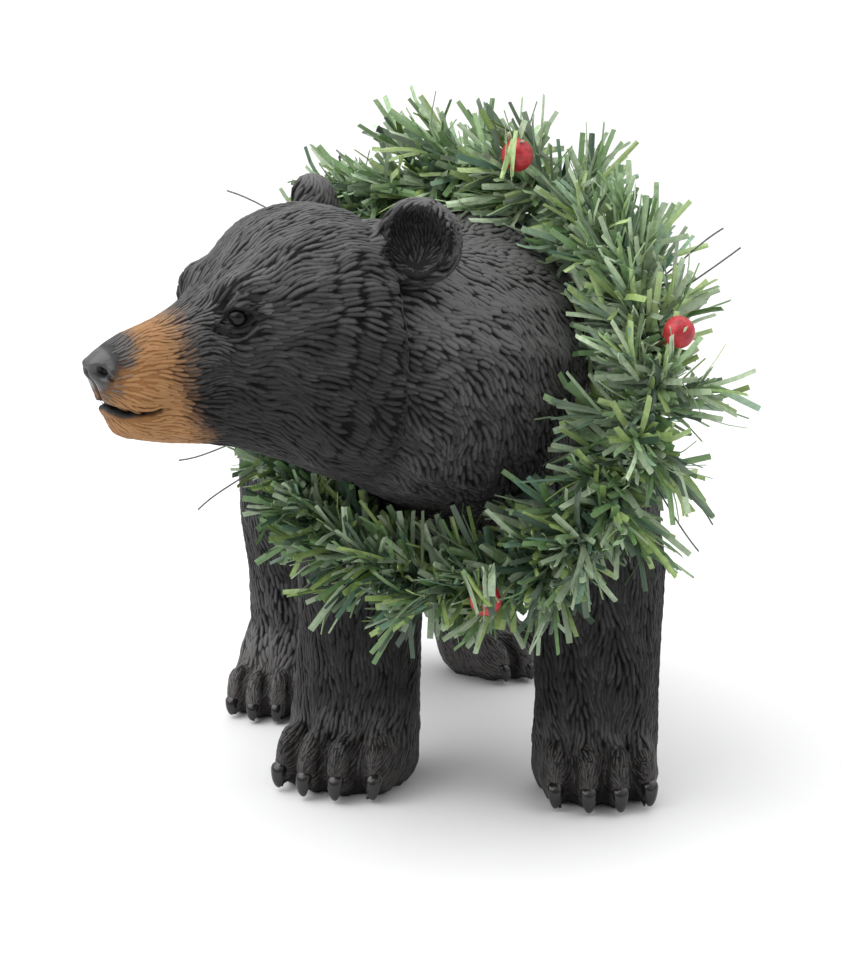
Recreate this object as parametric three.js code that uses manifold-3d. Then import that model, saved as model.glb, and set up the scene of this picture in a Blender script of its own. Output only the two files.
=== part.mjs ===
// A cast bear figurine that stands on its four feet and looks to its right, with a ring of fir needles
// and red berries laid round its neck. Millimetres, Z up, the bear faces -Y and its left side is +X.
// The bear is one casting: lofted trunk, neck, head, legs and muzzle, with toes, claws, ears and brows.
import * as THREE from "three";
import { mergeVertices } from "three/addons/utils/BufferGeometryUtils.js";
import Module from "manifold-3d";

const wasm = await Module();
wasm.setup();

// Driving dimensions of the bear
const HEAD_TURN = THREE.MathUtils.degToRad(72); // to the bear's right, from straight ahead
const SKULL = new THREE.Vector3(-40, -32, 122); // middle of the skull, between the cheeks
const PAW_LIFT = 17; // height of a fore paw's back above the floor
const TOES = 4; // toes that show on each foot
// A toe's half width, half length and half height, the height of its middle, and how far ahead of the
// leg's middle the longest toe reaches
const FORE_TOE = { wide: 5, long: 10.5, high: 9.2, middle: 7.2, reach: 22.5 };
const HIND_TOE = { wide: 4.2, long: 9, high: 7.6, middle: 5.8, reach: 21 };
const TOE_STEP = 4.5; // how much shorter the outer toes are
const CLAW_LENGTH = 6; // from its root, most of it inside the toe
const CLAW_RADIUS = 1.9;
const EAR_SPREAD = 26.5; // from the head's middle to an ear's middle
const EAR_RADIUS = 10.5;
const EAR_THICKNESS = 6.4;
const EAR_TURN = 0.76; // how far an ear's cup is turned out to its side, in radians
const EAR_LEAN = 0.45; // and how far its top is leaned
const EYE_SPREAD = 13.2;
const EYE_RADIUS = 2.7;
const NOSE_WIDTH = 13;
const RUFF_STEP = 1.3; // how far the ruff behind the cheek stands out over the neck
const FOOT_SINK = 3; // how far the feet are modelled below the floor before they are cut flat

// Driving dimensions of the wreath
const WREATH_RADIUS = 52; // up and down, to the wire in the middle of the needles
const WREATH_HALF_WIDTH = 52.5; // the same, across
const WREATH_THICKNESS = 21; // the dense core of needles
const WREATH_CENTRE = new THREE.Vector3(-9, -14, 110.6);
const WREATH_TURN = THREE.MathUtils.degToRad(30); // the wreath faces this much to the bear's right
const WREATH_LEAN = THREE.MathUtils.degToRad(20); // and this much upwards
const TUFT_ROWS = 18; // places along the ring where sprays of needles spread
const TUFT_REACH = 19; // shortest and longest reach of a spray from the wire
const TUFT_LONGEST = 26;
const TUFT_WIDTH = 12;
const TUFT_DEPTH = 6;
const TUFT_TURNS = [-0.7, 0.5, 1.7]; // how far round the wire each spray of a row stands, in radians
const TUFT_SWEEP = 0.9; // how much a spray leans along the ring
const TUFT_STRAY = 0.4; // how far a spray strays from its place, in radians and in rows
const BERRY_RADIUS = 4;
const STEM_RADIUS = 0.7;
const CLEARANCE = 0.7; // between the needles and the bear
const BERRY_GAP = 0.8; // between a berry and the needles

// Colours
const FUR_BLACK = new THREE.MeshStandardMaterial({ color: 0x2b2a2b, roughness: 0.62, metalness: 0 });
const NEEDLE_GREEN = new THREE.MeshStandardMaterial({ color: 0x4c7d45, roughness: 0.55, metalness: 0 });
const BERRY_RED = new THREE.MeshStandardMaterial({ color: 0xb3202a, roughness: 0.35, metalness: 0 });

const vector = (x, y, z) => new THREE.Vector3(x, y, z);
const UP = vector(0, 0, 1);

// A closed three.js geometry as a solid that can be joined and cut
function solidOf(geometry) {
  const plain = geometry.clone();
  plain.deleteAttribute("normal");
  plain.deleteAttribute("uv");
  const merged = mergeVertices(plain, 1e-4);
  return new wasm.Manifold(
    new wasm.Mesh({
      numProp: 3,
      vertProperties: new Float32Array(merged.attributes.position.array),
      triVerts: new Uint32Array(merged.index.array),
    }),
  );
}

// A solid back as a three.js geometry
function geometryOf(solid) {
  const mesh = solid.getMesh();
  const geometry = new THREE.BufferGeometry();
  geometry.setAttribute("position", new THREE.BufferAttribute(mesh.vertProperties, 3));
  geometry.setIndex(new THREE.BufferAttribute(mesh.triVerts, 1));
  geometry.computeVertexNormals();
  return geometry;
}

const joined = (solids) => solids.reduce((whole, part) => whole.add(part));

// A smooth curve through the stations' values of one key
function eased(stations, key, t) {
  const last = stations.length - 1;
  const place = Math.min(t * last, last - 1e-9);
  const i = Math.floor(place);
  const s = place - i;
  const value = (k) => stations[Math.max(0, Math.min(last, k))][key];
  const [a, b, c, d] = [value(i - 1), value(i), value(i + 1), value(i + 2)];
  const slope0 = (c - a) / 2;
  const slope1 = (d - b) / 2;
  const s2 = s * s;
  const s3 = s2 * s;
  return (
    (2 * s3 - 3 * s2 + 1) * b + (s3 - 2 * s2 + s) * slope0 + (3 * s2 - 2 * s3) * c + (s3 - s2) * slope1
  );
}

const fuller = (share, full) => Math.sign(share) * Math.abs(share) ** full;

// A body lofted through stations. Each has its middle (x, y, z), its half width, its reach above and
// below the middle, and turn, the compass angle that its outline faces, in degrees from straight ahead.
// level stations lie flat, as in a leg; the others stand upright, as in a trunk. full is 1 for an oval
// outline and less for a fuller one.
function loft(stations, { rings, sides, level = false, grow = 0, full = 1 }) {
  const positions = [];
  const keys = ["x", "y", "z", "wide", "above", "below", "turn"];
  for (let i = 0; i < rings; i += 1) {
    const at = Object.fromEntries(keys.map((key) => [key, eased(stations, key, i / (rings - 1))]));
    const turn = THREE.MathUtils.degToRad(at.turn);
    const across = vector(Math.cos(turn), -Math.sin(turn), 0);
    const along = vector(-Math.sin(turn), -Math.cos(turn), 0);
    const rise = level ? along : UP;
    for (let k = 0; k < sides; k += 1) {
      const angle = (2 * Math.PI * (k + 0.5)) / sides;
      const reach = Math.sin(angle) > 0 ? at.above : at.below;
      const point = vector(at.x, at.y, at.z)
        .addScaledVector(across, (at.wide + grow) * fuller(Math.cos(angle), full))
        .addScaledVector(rise, (reach + grow) * fuller(Math.sin(angle), full));
      positions.push(point.x, point.y, point.z);
    }
  }
  return closedLoft(positions, rings, sides);
}

// Joins rings of points into one closed body, with a flat fan over each end
function closedLoft(positions, rings, sides) {
  const faces = [];
  const at = (ring, side) => ring * sides + (side % sides);
  for (let i = 0; i + 1 < rings; i += 1) {
    for (let k = 0; k < sides; k += 1) {
      faces.push(at(i, k), at(i, k + 1), at(i + 1, k + 1));
      faces.push(at(i, k), at(i + 1, k + 1), at(i + 1, k));
    }
  }
  for (const ring of [0, rings - 1]) {
    const middle = positions.length / 3;
    const sum = vector(0, 0, 0);
    for (let k = 0; k < sides; k += 1) {
      sum.add(vector(...positions.slice(3 * at(ring, k), 3 * at(ring, k) + 3)));
      const pair = [at(ring, k), at(ring, k + 1)];
      faces.push(middle, ...(ring === 0 ? pair.reverse() : pair));
    }
    sum.divideScalar(sides);
    positions.push(sum.x, sum.y, sum.z);
  }
  const geometry = new THREE.BufferGeometry();
  geometry.setAttribute("position", new THREE.Float32BufferAttribute(positions, 3));
  geometry.setIndex(faces);
  const solid = solidOf(geometry);
  if (solid.volume() > 0) return solid;
  geometry.setIndex(faces.reverse());
  return solidOf(geometry);
}

// An ellipsoid of the given half sizes, turned by a quaternion
function ellipsoid(middle, size, turn = new THREE.Quaternion(), around = 12, down = 8) {
  const ball = new THREE.SphereGeometry(1, around, down);
  ball.applyMatrix4(new THREE.Matrix4().compose(middle, turn, size));
  return solidOf(ball);
}

// A cone with a round base, from base to tip
function cone(base, tip, radius, sides) {
  const along = tip.clone().sub(base);
  const shape = new THREE.CylinderGeometry(radius * 0.35, radius, along.length(), sides);
  const turn = new THREE.Quaternion().setFromUnitVectors(vector(0, 1, 0), along.clone().normalize());
  const middle = base.clone().add(tip).multiplyScalar(0.5);
  shape.applyMatrix4(new THREE.Matrix4().compose(middle, turn, vector(1, 1, 1)));
  return solidOf(shape);
}

// Trunk, from the chest back to the rump
const TRUNK = [
  { x: 0, y: -16, z: 96, wide: 12, above: 16, below: 16, turn: 0 },
  { x: 0, y: -9, z: 96, wide: 31, above: 32, below: 34, turn: 0 },
  { x: 1, y: 12, z: 98, wide: 43, above: 48, below: 43, turn: 0 },
  { x: 0, y: 42, z: 97, wide: 45, above: 51, below: 43, turn: 0 },
  { x: -3, y: 72, z: 94, wide: 42, above: 44, below: 42, turn: 2 },
  { x: -5, y: 100, z: 91, wide: 41, above: 43, below: 39, turn: 4 },
  { x: -6, y: 121, z: 87, wide: 32, above: 34, below: 33, turn: 5 },
  { x: -6, y: 132, z: 85, wide: 12, above: 14, below: 14, turn: 5 },
];

// Neck, from inside the skull back into the shoulders
const NECK = [
  { x: -46, y: -34, z: 122, wide: 24, above: 26, below: 26, turn: 72 },
  { x: -34, y: -30, z: 121, wide: 31.5, above: 32, below: 34, turn: 66 },
  { x: -18, y: -19, z: 116, wide: 35, above: 34, below: 38, turn: 45 },
  { x: -6, y: 0, z: 109, wide: 38.5, above: 44, below: 40, turn: 20 },
  { x: -1, y: 24, z: 102, wide: 38, above: 44, below: 38, turn: 5 },
];

// Head, from behind the cheeks to the nose, in the head's own frame: ahead is the distance from SKULL,
// crown and chin the heights of the outline over SKULL.
const HEAD = [
  { ahead: 0, wide: 31 + RUFF_STEP, crown: 34, chin: -30 - RUFF_STEP },
  { ahead: 6, wide: 31.5 + RUFF_STEP, crown: 35.5, chin: -28.5 - RUFF_STEP },
  { ahead: 14, wide: 29, crown: 35.5, chin: -26 },
  { ahead: 22, wide: 25, crown: 33, chin: -22.5 },
  { ahead: 30, wide: 18.6, crown: 26.5, chin: -19.8 },
  { ahead: 38, wide: 13.6, crown: 17.6, chin: -18.4 },
  { ahead: 47, wide: 11.6, crown: 12.2, chin: -17.4 },
  { ahead: 56, wide: 9.8, crown: 9.4, chin: -15.4 },
  { ahead: 62, wide: 7.4, crown: 7.4, chin: -12 },
  { ahead: 66, wide: 4.2, crown: 4.6, chin: -5.5 },
];

// Legs, from the sole up into the trunk
const LEGS = {
  fore_right: [
    { x: -30, y: 10.5, z: -FOOT_SINK, wide: 17.2, above: 15, below: 14, turn: 34 },
    { x: -30, y: 10.5, z: 8, wide: 18, above: 15.5, below: 15, turn: 34 },
    { x: -28.5, y: 13, z: PAW_LIFT + 4, wide: 16.6, above: 14, below: 14, turn: 20 },
    { x: -27, y: 15, z: 42, wide: 16.2, above: 15, below: 15, turn: 10 },
    { x: -26.5, y: 16, z: 66, wide: 17, above: 19, below: 20, turn: 4 },
    { x: -25, y: 18, z: 96, wide: 18, above: 24, below: 24, turn: 0 },
  ],
  fore_left: [
    { x: 29.5, y: -11.5, z: -FOOT_SINK, wide: 16, above: 14, below: 14, turn: 8 },
    { x: 29.5, y: -11.5, z: 8, wide: 16.8, above: 14.5, below: 15, turn: 8 },
    { x: 30.8, y: -9, z: PAW_LIFT + 4, wide: 16, above: 13.5, below: 14, turn: 4 },
    { x: 32.2, y: -3, z: 42, wide: 16.8, above: 16, below: 16, turn: 0 },
    { x: 33, y: 5, z: 66, wide: 18.6, above: 20, below: 21, turn: 0 },
    { x: 27, y: 14, z: 96, wide: 18, above: 24, below: 24, turn: 0 },
  ],
  hind_right: [
    { x: -38.5, y: 78, z: -FOOT_SINK, wide: 13.6, above: 14, below: 12, turn: 22 },
    { x: -38.5, y: 79, z: 7, wide: 14.4, above: 14, below: 14, turn: 22 },
    { x: -34.5, y: 86, z: 20, wide: 11.2, above: 13, below: 13, turn: 14 },
    { x: -33, y: 90, z: 40, wide: 12.4, above: 16, below: 16, turn: 8 },
    { x: -31, y: 90, z: 62, wide: 17.4, above: 24, below: 24, turn: 5 },
    { x: -24, y: 92, z: 86, wide: 19, above: 28, below: 28, turn: 5 },
  ],
  hind_left: [
    { x: 26, y: 100, z: -FOOT_SINK, wide: 13.2, above: 14, below: 11, turn: -38 },
    { x: 26, y: 101, z: 7, wide: 14, above: 14, below: 13, turn: -38 },
    { x: 22, y: 106, z: 20, wide: 11.6, above: 14, below: 13, turn: -28 },
    { x: 20, y: 108, z: 40, wide: 13, above: 16, below: 16, turn: -12 },
    { x: 18, y: 102, z: 62, wide: 17, above: 24, below: 24, turn: 0 },
    { x: 12, y: 96, z: 86, wide: 19, above: 28, below: 28, turn: 0 },
  ],
};

// The head's own directions: ahead to the nose, left to its left cheek
const AHEAD = vector(-Math.sin(HEAD_TURN), -Math.cos(HEAD_TURN), 0);
const LEFT = vector(Math.cos(HEAD_TURN), -Math.sin(HEAD_TURN), 0);
const inHead = (ahead, left, up) =>
  SKULL.clone().addScaledVector(AHEAD, ahead).addScaledVector(LEFT, left).addScaledVector(UP, up);
const HEAD_FRAME = new THREE.Quaternion().setFromAxisAngle(UP, -HEAD_TURN);

// The head's stations as the loft wants them
function headStations() {
  return HEAD.map(({ ahead, wide, crown, chin }) => {
    const middle = inHead(ahead, 0, (crown + chin) / 2);
    const reach = (crown - chin) / 2;
    const turn = THREE.MathUtils.radToDeg(HEAD_TURN);
    return { x: middle.x, y: middle.y, z: middle.z, wide, above: reach, below: reach, turn };
  });
}

// Brows, cheeks, lips, chin and the nose pad
function faceForms(grow) {
  const size = (wide, long, high) => vector(wide + grow, long + grow, high + grow);
  const forms = [];
  for (const side of [-1, 1]) {
    forms.push(ellipsoid(inHead(28.6, side * 9.6, 16.4), size(8, 9.4, 7.2), HEAD_FRAME, 10, 7));
    forms.push(ellipsoid(inHead(6, side * 14, -7), size(15.6, 21, 20), HEAD_FRAME, 10, 6));
    forms.push(ellipsoid(inHead(53, side * 4.4, -4), size(7.4, 10.5, 6.4), HEAD_FRAME, 10, 6));
  }
  forms.push(ellipsoid(inHead(61.2, 0, 2.6), size(NOSE_WIDTH / 2, 6, 5.6), HEAD_FRAME, 10, 7));
  forms.push(ellipsoid(inHead(54, 0, -10.6), size(8, 8.4, 5.4), HEAD_FRAME, 10, 6));
  return forms;
}

// A round ear: a thick leaning disc with a hollow in its front
function ear(side, grow) {
  const middle = inHead(-6, side * EAR_SPREAD, 29);
  const lean = new THREE.Quaternion().setFromEuler(
    new THREE.Euler(0, side * EAR_LEAN, -HEAD_TURN + side * EAR_TURN, "ZYX"),
  );
  const size = vector(EAR_RADIUS + grow, EAR_THICKNESS + grow, EAR_RADIUS + grow);
  const shell = ellipsoid(middle, size, lean, 12, 7);
  if (grow > 0) return shell;
  const facing = vector(0, -1, 0).applyQuaternion(lean);
  const hollow = ellipsoid(
    middle.clone().addScaledVector(facing, EAR_THICKNESS * 0.95),
    vector(EAR_RADIUS * 0.8, EAR_THICKNESS * 1.1, EAR_RADIUS * 0.8),
    lean,
    10,
    6,
  );
  return shell.subtract(hollow);
}

// What is cut out of the face: eye sockets, nostrils and the line of the mouth
function faceCuts() {
  const cuts = [];
  for (const side of [-1, 1]) {
    cuts.push(ellipsoid(inHead(36, side * (EYE_SPREAD + 2.6), 13), vector(3, 4, 2.6), HEAD_FRAME, 10, 6));
    cuts.push(ellipsoid(inHead(66.4, side * 3.4, 2.4), vector(1.5, 3, 1.6), HEAD_FRAME, 8, 5));
    const slit = new THREE.BoxGeometry(3.2, 15, 1);
    const turn = new THREE.Quaternion().setFromEuler(new THREE.Euler(-0.2, 0, side * 0.16, "XYZ"));
    slit.applyQuaternion(HEAD_FRAME.clone().multiply(turn));
    const middle = inHead(57, side * 10.2, -7.4);
    slit.translate(middle.x, middle.y, middle.z);
    cuts.push(solidOf(slit));
  }
  return cuts;
}

function eye(side) {
  const size = vector(EYE_RADIUS, EYE_RADIUS, EYE_RADIUS);
  return ellipsoid(inHead(34.2, side * EYE_SPREAD, 13), size, HEAD_FRAME, 8, 6);
}

// Toes and claws, spread over the front of a foot. foot is the leg's sole station.
function toesOf(foot, toe, grow) {
  const turn = THREE.MathUtils.degToRad(foot.turn);
  const across = vector(Math.cos(turn), -Math.sin(turn), 0);
  const ahead = vector(-Math.sin(turn), -Math.cos(turn), 0);
  const parts = [];
  for (let i = 0; i < TOES; i += 1) {
    const share = (2 * i) / (TOES - 1) - 1;
    const splay = share * 0.1;
    const front = toe.reach - TOE_STEP * share * share;
    const at = (out, fore, up) =>
      vector(foot.x, foot.y, up).addScaledVector(across, out).addScaledVector(ahead, fore);
    const out = share * (foot.wide - toe.wide);
    const frame = new THREE.Quaternion().setFromAxisAngle(UP, -turn - splay);
    const size = vector(toe.wide + grow, toe.long + grow, toe.high + grow);
    parts.push(ellipsoid(at(out, front - toe.long, toe.middle), size, frame, 8, 5));
    const root = at(out, front - CLAW_LENGTH * 0.45, toe.middle * 0.7);
    const tip = at(out, front + CLAW_LENGTH * 0.15, CLAW_RADIUS * 0.2);
    parts.push(cone(root, tip, CLAW_RADIUS, 5));
  }
  return parts;
}

function leg(stations, toe, grow) {
  const body = loft(stations, { rings: 8, sides: 12, level: true, grow });
  return joined([body, ...toesOf(stations[0], toe, grow)]);
}

// Everything below the floor, cut away so that the soles are flat
function underFloor() {
  const reach = 400;
  const depth = 20;
  const slab = new THREE.BoxGeometry(reach, reach, depth);
  slab.translate(0, 0, -depth / 2);
  return solidOf(slab);
}

function tail() {
  const lean = new THREE.Quaternion().setFromAxisAngle(vector(1, 0, 0), 0.5);
  return ellipsoid(vector(-6, 131, 96), vector(6, 6.5, 10), lean, 9, 6);
}

// The whole bear, or with grow the room that it needs, standing that much off its skin
function makeBear(grow = 0) {
  const trunk = loft(TRUNK, { rings: 12, sides: 20, grow, full: 0.87 });
  const neck = loft(NECK, { rings: 8, sides: 18, grow });
  const head = loft(headStations(), { rings: 16, sides: 20, grow, full: 0.86 });
  const legs = Object.entries(LEGS).map(([name, stations]) =>
    leg(stations, name.startsWith("fore") ? FORE_TOE : HIND_TOE, grow),
  );
  const face = joined([head, ...faceForms(grow)]).subtract(joined(faceCuts()));
  const whole = joined([trunk, neck, face, ear(-1, grow), ear(1, grow), eye(-1), eye(1), ...legs, tail()]);
  return whole.subtract(underFloor());
}

// The wreath's own directions: right and rise lie in its plane, facing looks out of it
const FACING = vector(
  -Math.sin(WREATH_TURN) * Math.cos(WREATH_LEAN),
  -Math.cos(WREATH_TURN) * Math.cos(WREATH_LEAN),
  Math.sin(WREATH_LEAN),
);
const WREATH_RIGHT = vector(Math.cos(WREATH_TURN), -Math.sin(WREATH_TURN), 0);
const WREATH_RISE = WREATH_RIGHT.clone().cross(FACING).normalize().negate();

// A repeatable random number from 0 to 1
function numbers(seed) {
  let state = seed;
  return () => {
    state = (state * 16807) % 2147483647;
    return state / 2147483647;
  };
}

// The direction from the wreath's centre at an angle, and the wire's point there
const spoke = (angle) =>
  WREATH_RIGHT.clone().multiplyScalar(Math.cos(angle)).addScaledVector(WREATH_RISE, Math.sin(angle));
const wire = (angle) =>
  WREATH_CENTRE.clone()
    .addScaledVector(WREATH_RIGHT, WREATH_HALF_WIDTH * Math.cos(angle))
    .addScaledVector(WREATH_RISE, WREATH_RADIUS * Math.sin(angle));

// The dense core of the wreath: a lumpy ring
function wreathCore(random) {
  const steps = 25;
  const sides = 6;
  const positions = [];
  for (let i = 0; i < steps; i += 1) {
    const angle = (2 * Math.PI * i) / steps;
    for (let k = 0; k < sides; k += 1) {
      const around = (2 * Math.PI * k) / sides;
      const radius = (WREATH_THICKNESS / 2) * (0.9 + 0.2 * random());
      const point = wire(angle)
        .addScaledVector(spoke(angle), radius * Math.cos(around))
        .addScaledVector(FACING, radius * Math.sin(around));
      positions.push(point.x, point.y, point.z);
    }
  }
  const faces = [];
  const at = (i, k) => (i % steps) * sides + (k % sides);
  for (let i = 0; i < steps; i += 1) {
    for (let k = 0; k < sides; k += 1) {
      faces.push(at(i, k), at(i + 1, k), at(i + 1, k + 1));
      faces.push(at(i, k), at(i + 1, k + 1), at(i, k + 1));
    }
  }
  const geometry = new THREE.BufferGeometry();
  geometry.setAttribute("position", new THREE.Float32BufferAttribute(positions, 3));
  geometry.setIndex(faces);
  const solid = solidOf(geometry);
  if (solid.volume() > 0) return solid;
  geometry.setIndex(faces.reverse());
  return solidOf(geometry);
}

// A flat spray of needles, widest at its middle, from the wire out to its tip
function tuft(angle, around, sweep, length) {
  const out = spoke(angle)
    .multiplyScalar(Math.cos(around))
    .addScaledVector(FACING, Math.sin(around));
  const along = spoke(angle + Math.PI / 2);
  const way = out.clone().addScaledVector(along, sweep).normalize();
  const flat = way.clone().cross(out.clone().cross(along)).normalize();
  const turn = new THREE.Quaternion().setFromRotationMatrix(
    new THREE.Matrix4().makeBasis(flat, way, flat.clone().cross(way)),
  );
  const blade = new THREE.CylinderGeometry(0.16, 0.5, 1, 4);
  blade.translate(0, 0.5, 0);
  const size = vector(TUFT_WIDTH, length, TUFT_DEPTH);
  blade.applyMatrix4(new THREE.Matrix4().compose(wire(angle), turn, size));
  return solidOf(blade);
}

function makeWreath(berries) {
  const random = numbers(4909);
  const parts = [wreathCore(random)];
  for (let row = 0; row < TUFT_ROWS; row += 1) {
    TUFT_TURNS.forEach((around, i) => {
      const angle = (2 * Math.PI * (row + (i % 2) / 2 + TUFT_STRAY * (random() - 0.5))) / TUFT_ROWS;
      const reach = TUFT_REACH + (TUFT_LONGEST - TUFT_REACH) * random();
      parts.push(tuft(angle, around + TUFT_STRAY * (random() - 0.5), TUFT_SWEEP, reach));
    });
  }
  const room = BERRY_RADIUS + BERRY_GAP;
  const pockets = berries.map(({ middle }) =>
    ellipsoid(middle, vector(room, room, room), undefined, 8, 6),
  );
  const whole = joined(parts).subtract(makeBear(CLEARANCE)).subtract(joined(pockets));
  return whole.decompose().sort((a, b) => b.volume() - a.volume())[0];
}

// Each berry's place: its angle on the ring, its angle round the wire, and how far out its middle is
const BERRIES = [
  { angle: 75, around: 74, out: 14 },
  { angle: 12.3, around: 57, out: 14 },
  { angle: 287.6, around: 61.5, out: 12 },
  { angle: 50, around: 270, out: 12.5 },
  { angle: 105, around: 280, out: 12.5 },
  { angle: 310, around: 265, out: 12.5 },
];

function berryPlaces() {
  return BERRIES.map(({ angle, around, out }) => {
    const turn = THREE.MathUtils.degToRad(angle);
    const tilt = THREE.MathUtils.degToRad(around);
    const way = spoke(turn).multiplyScalar(Math.cos(tilt)).addScaledVector(FACING, Math.sin(tilt));
    return { middle: wire(turn).addScaledVector(way, out), way };
  });
}

function makeBerry({ middle, way }) {
  const size = vector(BERRY_RADIUS, BERRY_RADIUS, BERRY_RADIUS);
  const turn = new THREE.Quaternion().setFromUnitVectors(vector(0, 1, 0), way);
  const ball = ellipsoid(middle, size, turn, 8, 6);
  const dimple = ellipsoid(
    middle.clone().addScaledVector(way, BERRY_RADIUS * 1.02),
    vector(STEM_RADIUS, STEM_RADIUS, STEM_RADIUS),
    turn,
    5,
    4,
  );
  return ball.subtract(dimple);
}

function named(name, solid, material) {
  const mesh = new THREE.Mesh(geometryOf(solid), material);
  mesh.name = name;
  return mesh;
}

const figurine = new THREE.Group();
const berries = berryPlaces();
figurine.add(named("bear", makeBear(), FUR_BLACK));
figurine.add(named("wreath", makeWreath(berries), NEEDLE_GREEN));
berries.forEach((berry, i) => figurine.add(named(`berry_${i + 1}`, makeBerry(berry), BERRY_RED)));

// The origin is on the floor, under the middle of the whole figurine
const box = new THREE.Box3().setFromObject(figurine);
const middle = box.getCenter(vector(0, 0, 0));
const placed = new THREE.Group();
placed.add(figurine);
figurine.position.set(-middle.x, -middle.y, -box.min.z);

export default placed;
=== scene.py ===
# %% [markdown]
# A cast bear with a fir wreath. The real figurine is a hollow resin casting, sculpted with
# thousands of little strokes for fur and painted black, with a tan muzzle. A ring of plastic fir
# needles with red berries lies round its neck. The solids give every form its place; this lesson
# dresses them.

# %% Load the frame
from math import cos, degrees, pi, radians, sin

import bmesh
import bpy
import numpy as np
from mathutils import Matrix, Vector
from mathutils.bvhtree import BVHTree


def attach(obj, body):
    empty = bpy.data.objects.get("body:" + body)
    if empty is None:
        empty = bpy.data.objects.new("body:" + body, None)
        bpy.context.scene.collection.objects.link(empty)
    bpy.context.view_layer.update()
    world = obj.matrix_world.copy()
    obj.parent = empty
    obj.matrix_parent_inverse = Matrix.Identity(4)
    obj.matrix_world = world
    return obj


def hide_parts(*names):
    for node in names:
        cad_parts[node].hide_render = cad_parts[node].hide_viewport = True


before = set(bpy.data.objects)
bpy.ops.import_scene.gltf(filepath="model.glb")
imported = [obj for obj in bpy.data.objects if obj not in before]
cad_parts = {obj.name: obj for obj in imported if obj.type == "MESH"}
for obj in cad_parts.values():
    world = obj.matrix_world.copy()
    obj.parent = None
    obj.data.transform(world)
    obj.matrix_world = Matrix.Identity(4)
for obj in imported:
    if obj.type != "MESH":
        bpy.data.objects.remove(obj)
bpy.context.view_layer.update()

print("solids:", sorted(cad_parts))

# %% [markdown]
# A maker measures such a figure from the middle of its shoulders, in millimetres, with the bear
# facing -Y and its left side at +X. The frame is in metres with its origin under the middle of
# the whole box, so one helper turns the first into the second. The head is turned to the bear's
# right, and has its own helper, because an eye or a lip is easier to place along the head than
# across the room.

# %% Places on the figure
MM = 0.001
SHOULDERS = np.array([0.025054, -0.036852, 0.0])
HEAD_TURN = radians(72)
SKULL = np.array([-40.0, -32.0, 122.0])
AHEAD = np.array([-sin(HEAD_TURN), -cos(HEAD_TURN), 0.0])
LEFT = np.array([cos(HEAD_TURN), -sin(HEAD_TURN), 0.0])
UP = np.array([0.0, 0.0, 1.0])


def place(x, y, z):
    return SHOULDERS + np.array([x, y, z]) * MM


def direction(ahead, left, up):
    return AHEAD * ahead + LEFT * left + UP * up


def on_head(ahead, left, up):
    return place(*(SKULL + direction(ahead, left, up)))


print("nose tip at", np.round(on_head(65, 0, 0), 4))

# %% [markdown]
# The photograph was taken from a little above, a little to the bear's right, with a long lens. A
# camera looks along its own -Z, so it is aimed with a tracking quaternion from its place to its
# target.

# %% Camera
CAMERA_TURN = radians(12)
CAMERA_RAISE = radians(13)
CAMERA_DISTANCE = 0.7
CAMERA_TARGET = place(-17, -14, 85)
LENS = 105 # in mm, as the sensor's width
SENSOR = 36
NEAREST = 0.01


def make_camera():
    camera = bpy.data.objects.new("camera", bpy.data.cameras.new("camera"))
    bpy.context.scene.collection.objects.link(camera)
    back = np.array([
        -sin(CAMERA_TURN) * cos(CAMERA_RAISE),
        -cos(CAMERA_TURN) * cos(CAMERA_RAISE),
        sin(CAMERA_RAISE),
    ])
    camera.location = Vector(CAMERA_TARGET + back * CAMERA_DISTANCE)
    camera.rotation_euler = Vector(-back).to_track_quat("-Z", "Y").to_euler()
    camera.data.lens = LENS
    camera.data.sensor_width = SENSOR
    camera.data.clip_start = NEAREST
    bpy.context.scene.camera = camera
    return camera


camera = make_camera()
print("camera at", [round(v, 3) for v in camera.location])

# %% [markdown]
# The light is a plain white studio. Its surround is bright overhead, weaker near the ground and
# weakest in front of the figure, so the undersides stay dark. One broad lamp high on the left
# gives the fur its glints and lets soft shadows fall to the right of the legs, and a weak one on
# the right fills them. The camera itself sees plain white, because the surround's shading would
# show as a grey backdrop.

# %% Light and floor
ZENITH = 1.85
HORIZON = 0.58
DIM_FRONT = 0.42
RISING = (0.1, 0.8) # heights between which the brightness goes from HORIZON to ZENITH
FRONT_TO_BACK = (-0.75, 0.15)
# name, place in mm, power in watts, size in metres
LAMPS = [
    ("key_lamp", (-500, -120, 680), 5.5, 1.0),
    ("fill_lamp", (500, -600, 300), 0.5, 0.7),
]
FLOOR_REACH = 9.0
FLOOR_GREY = (0.84, 0.84, 0.845, 1.0)
FLOOR_ROUGHNESS = 0.6


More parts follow.
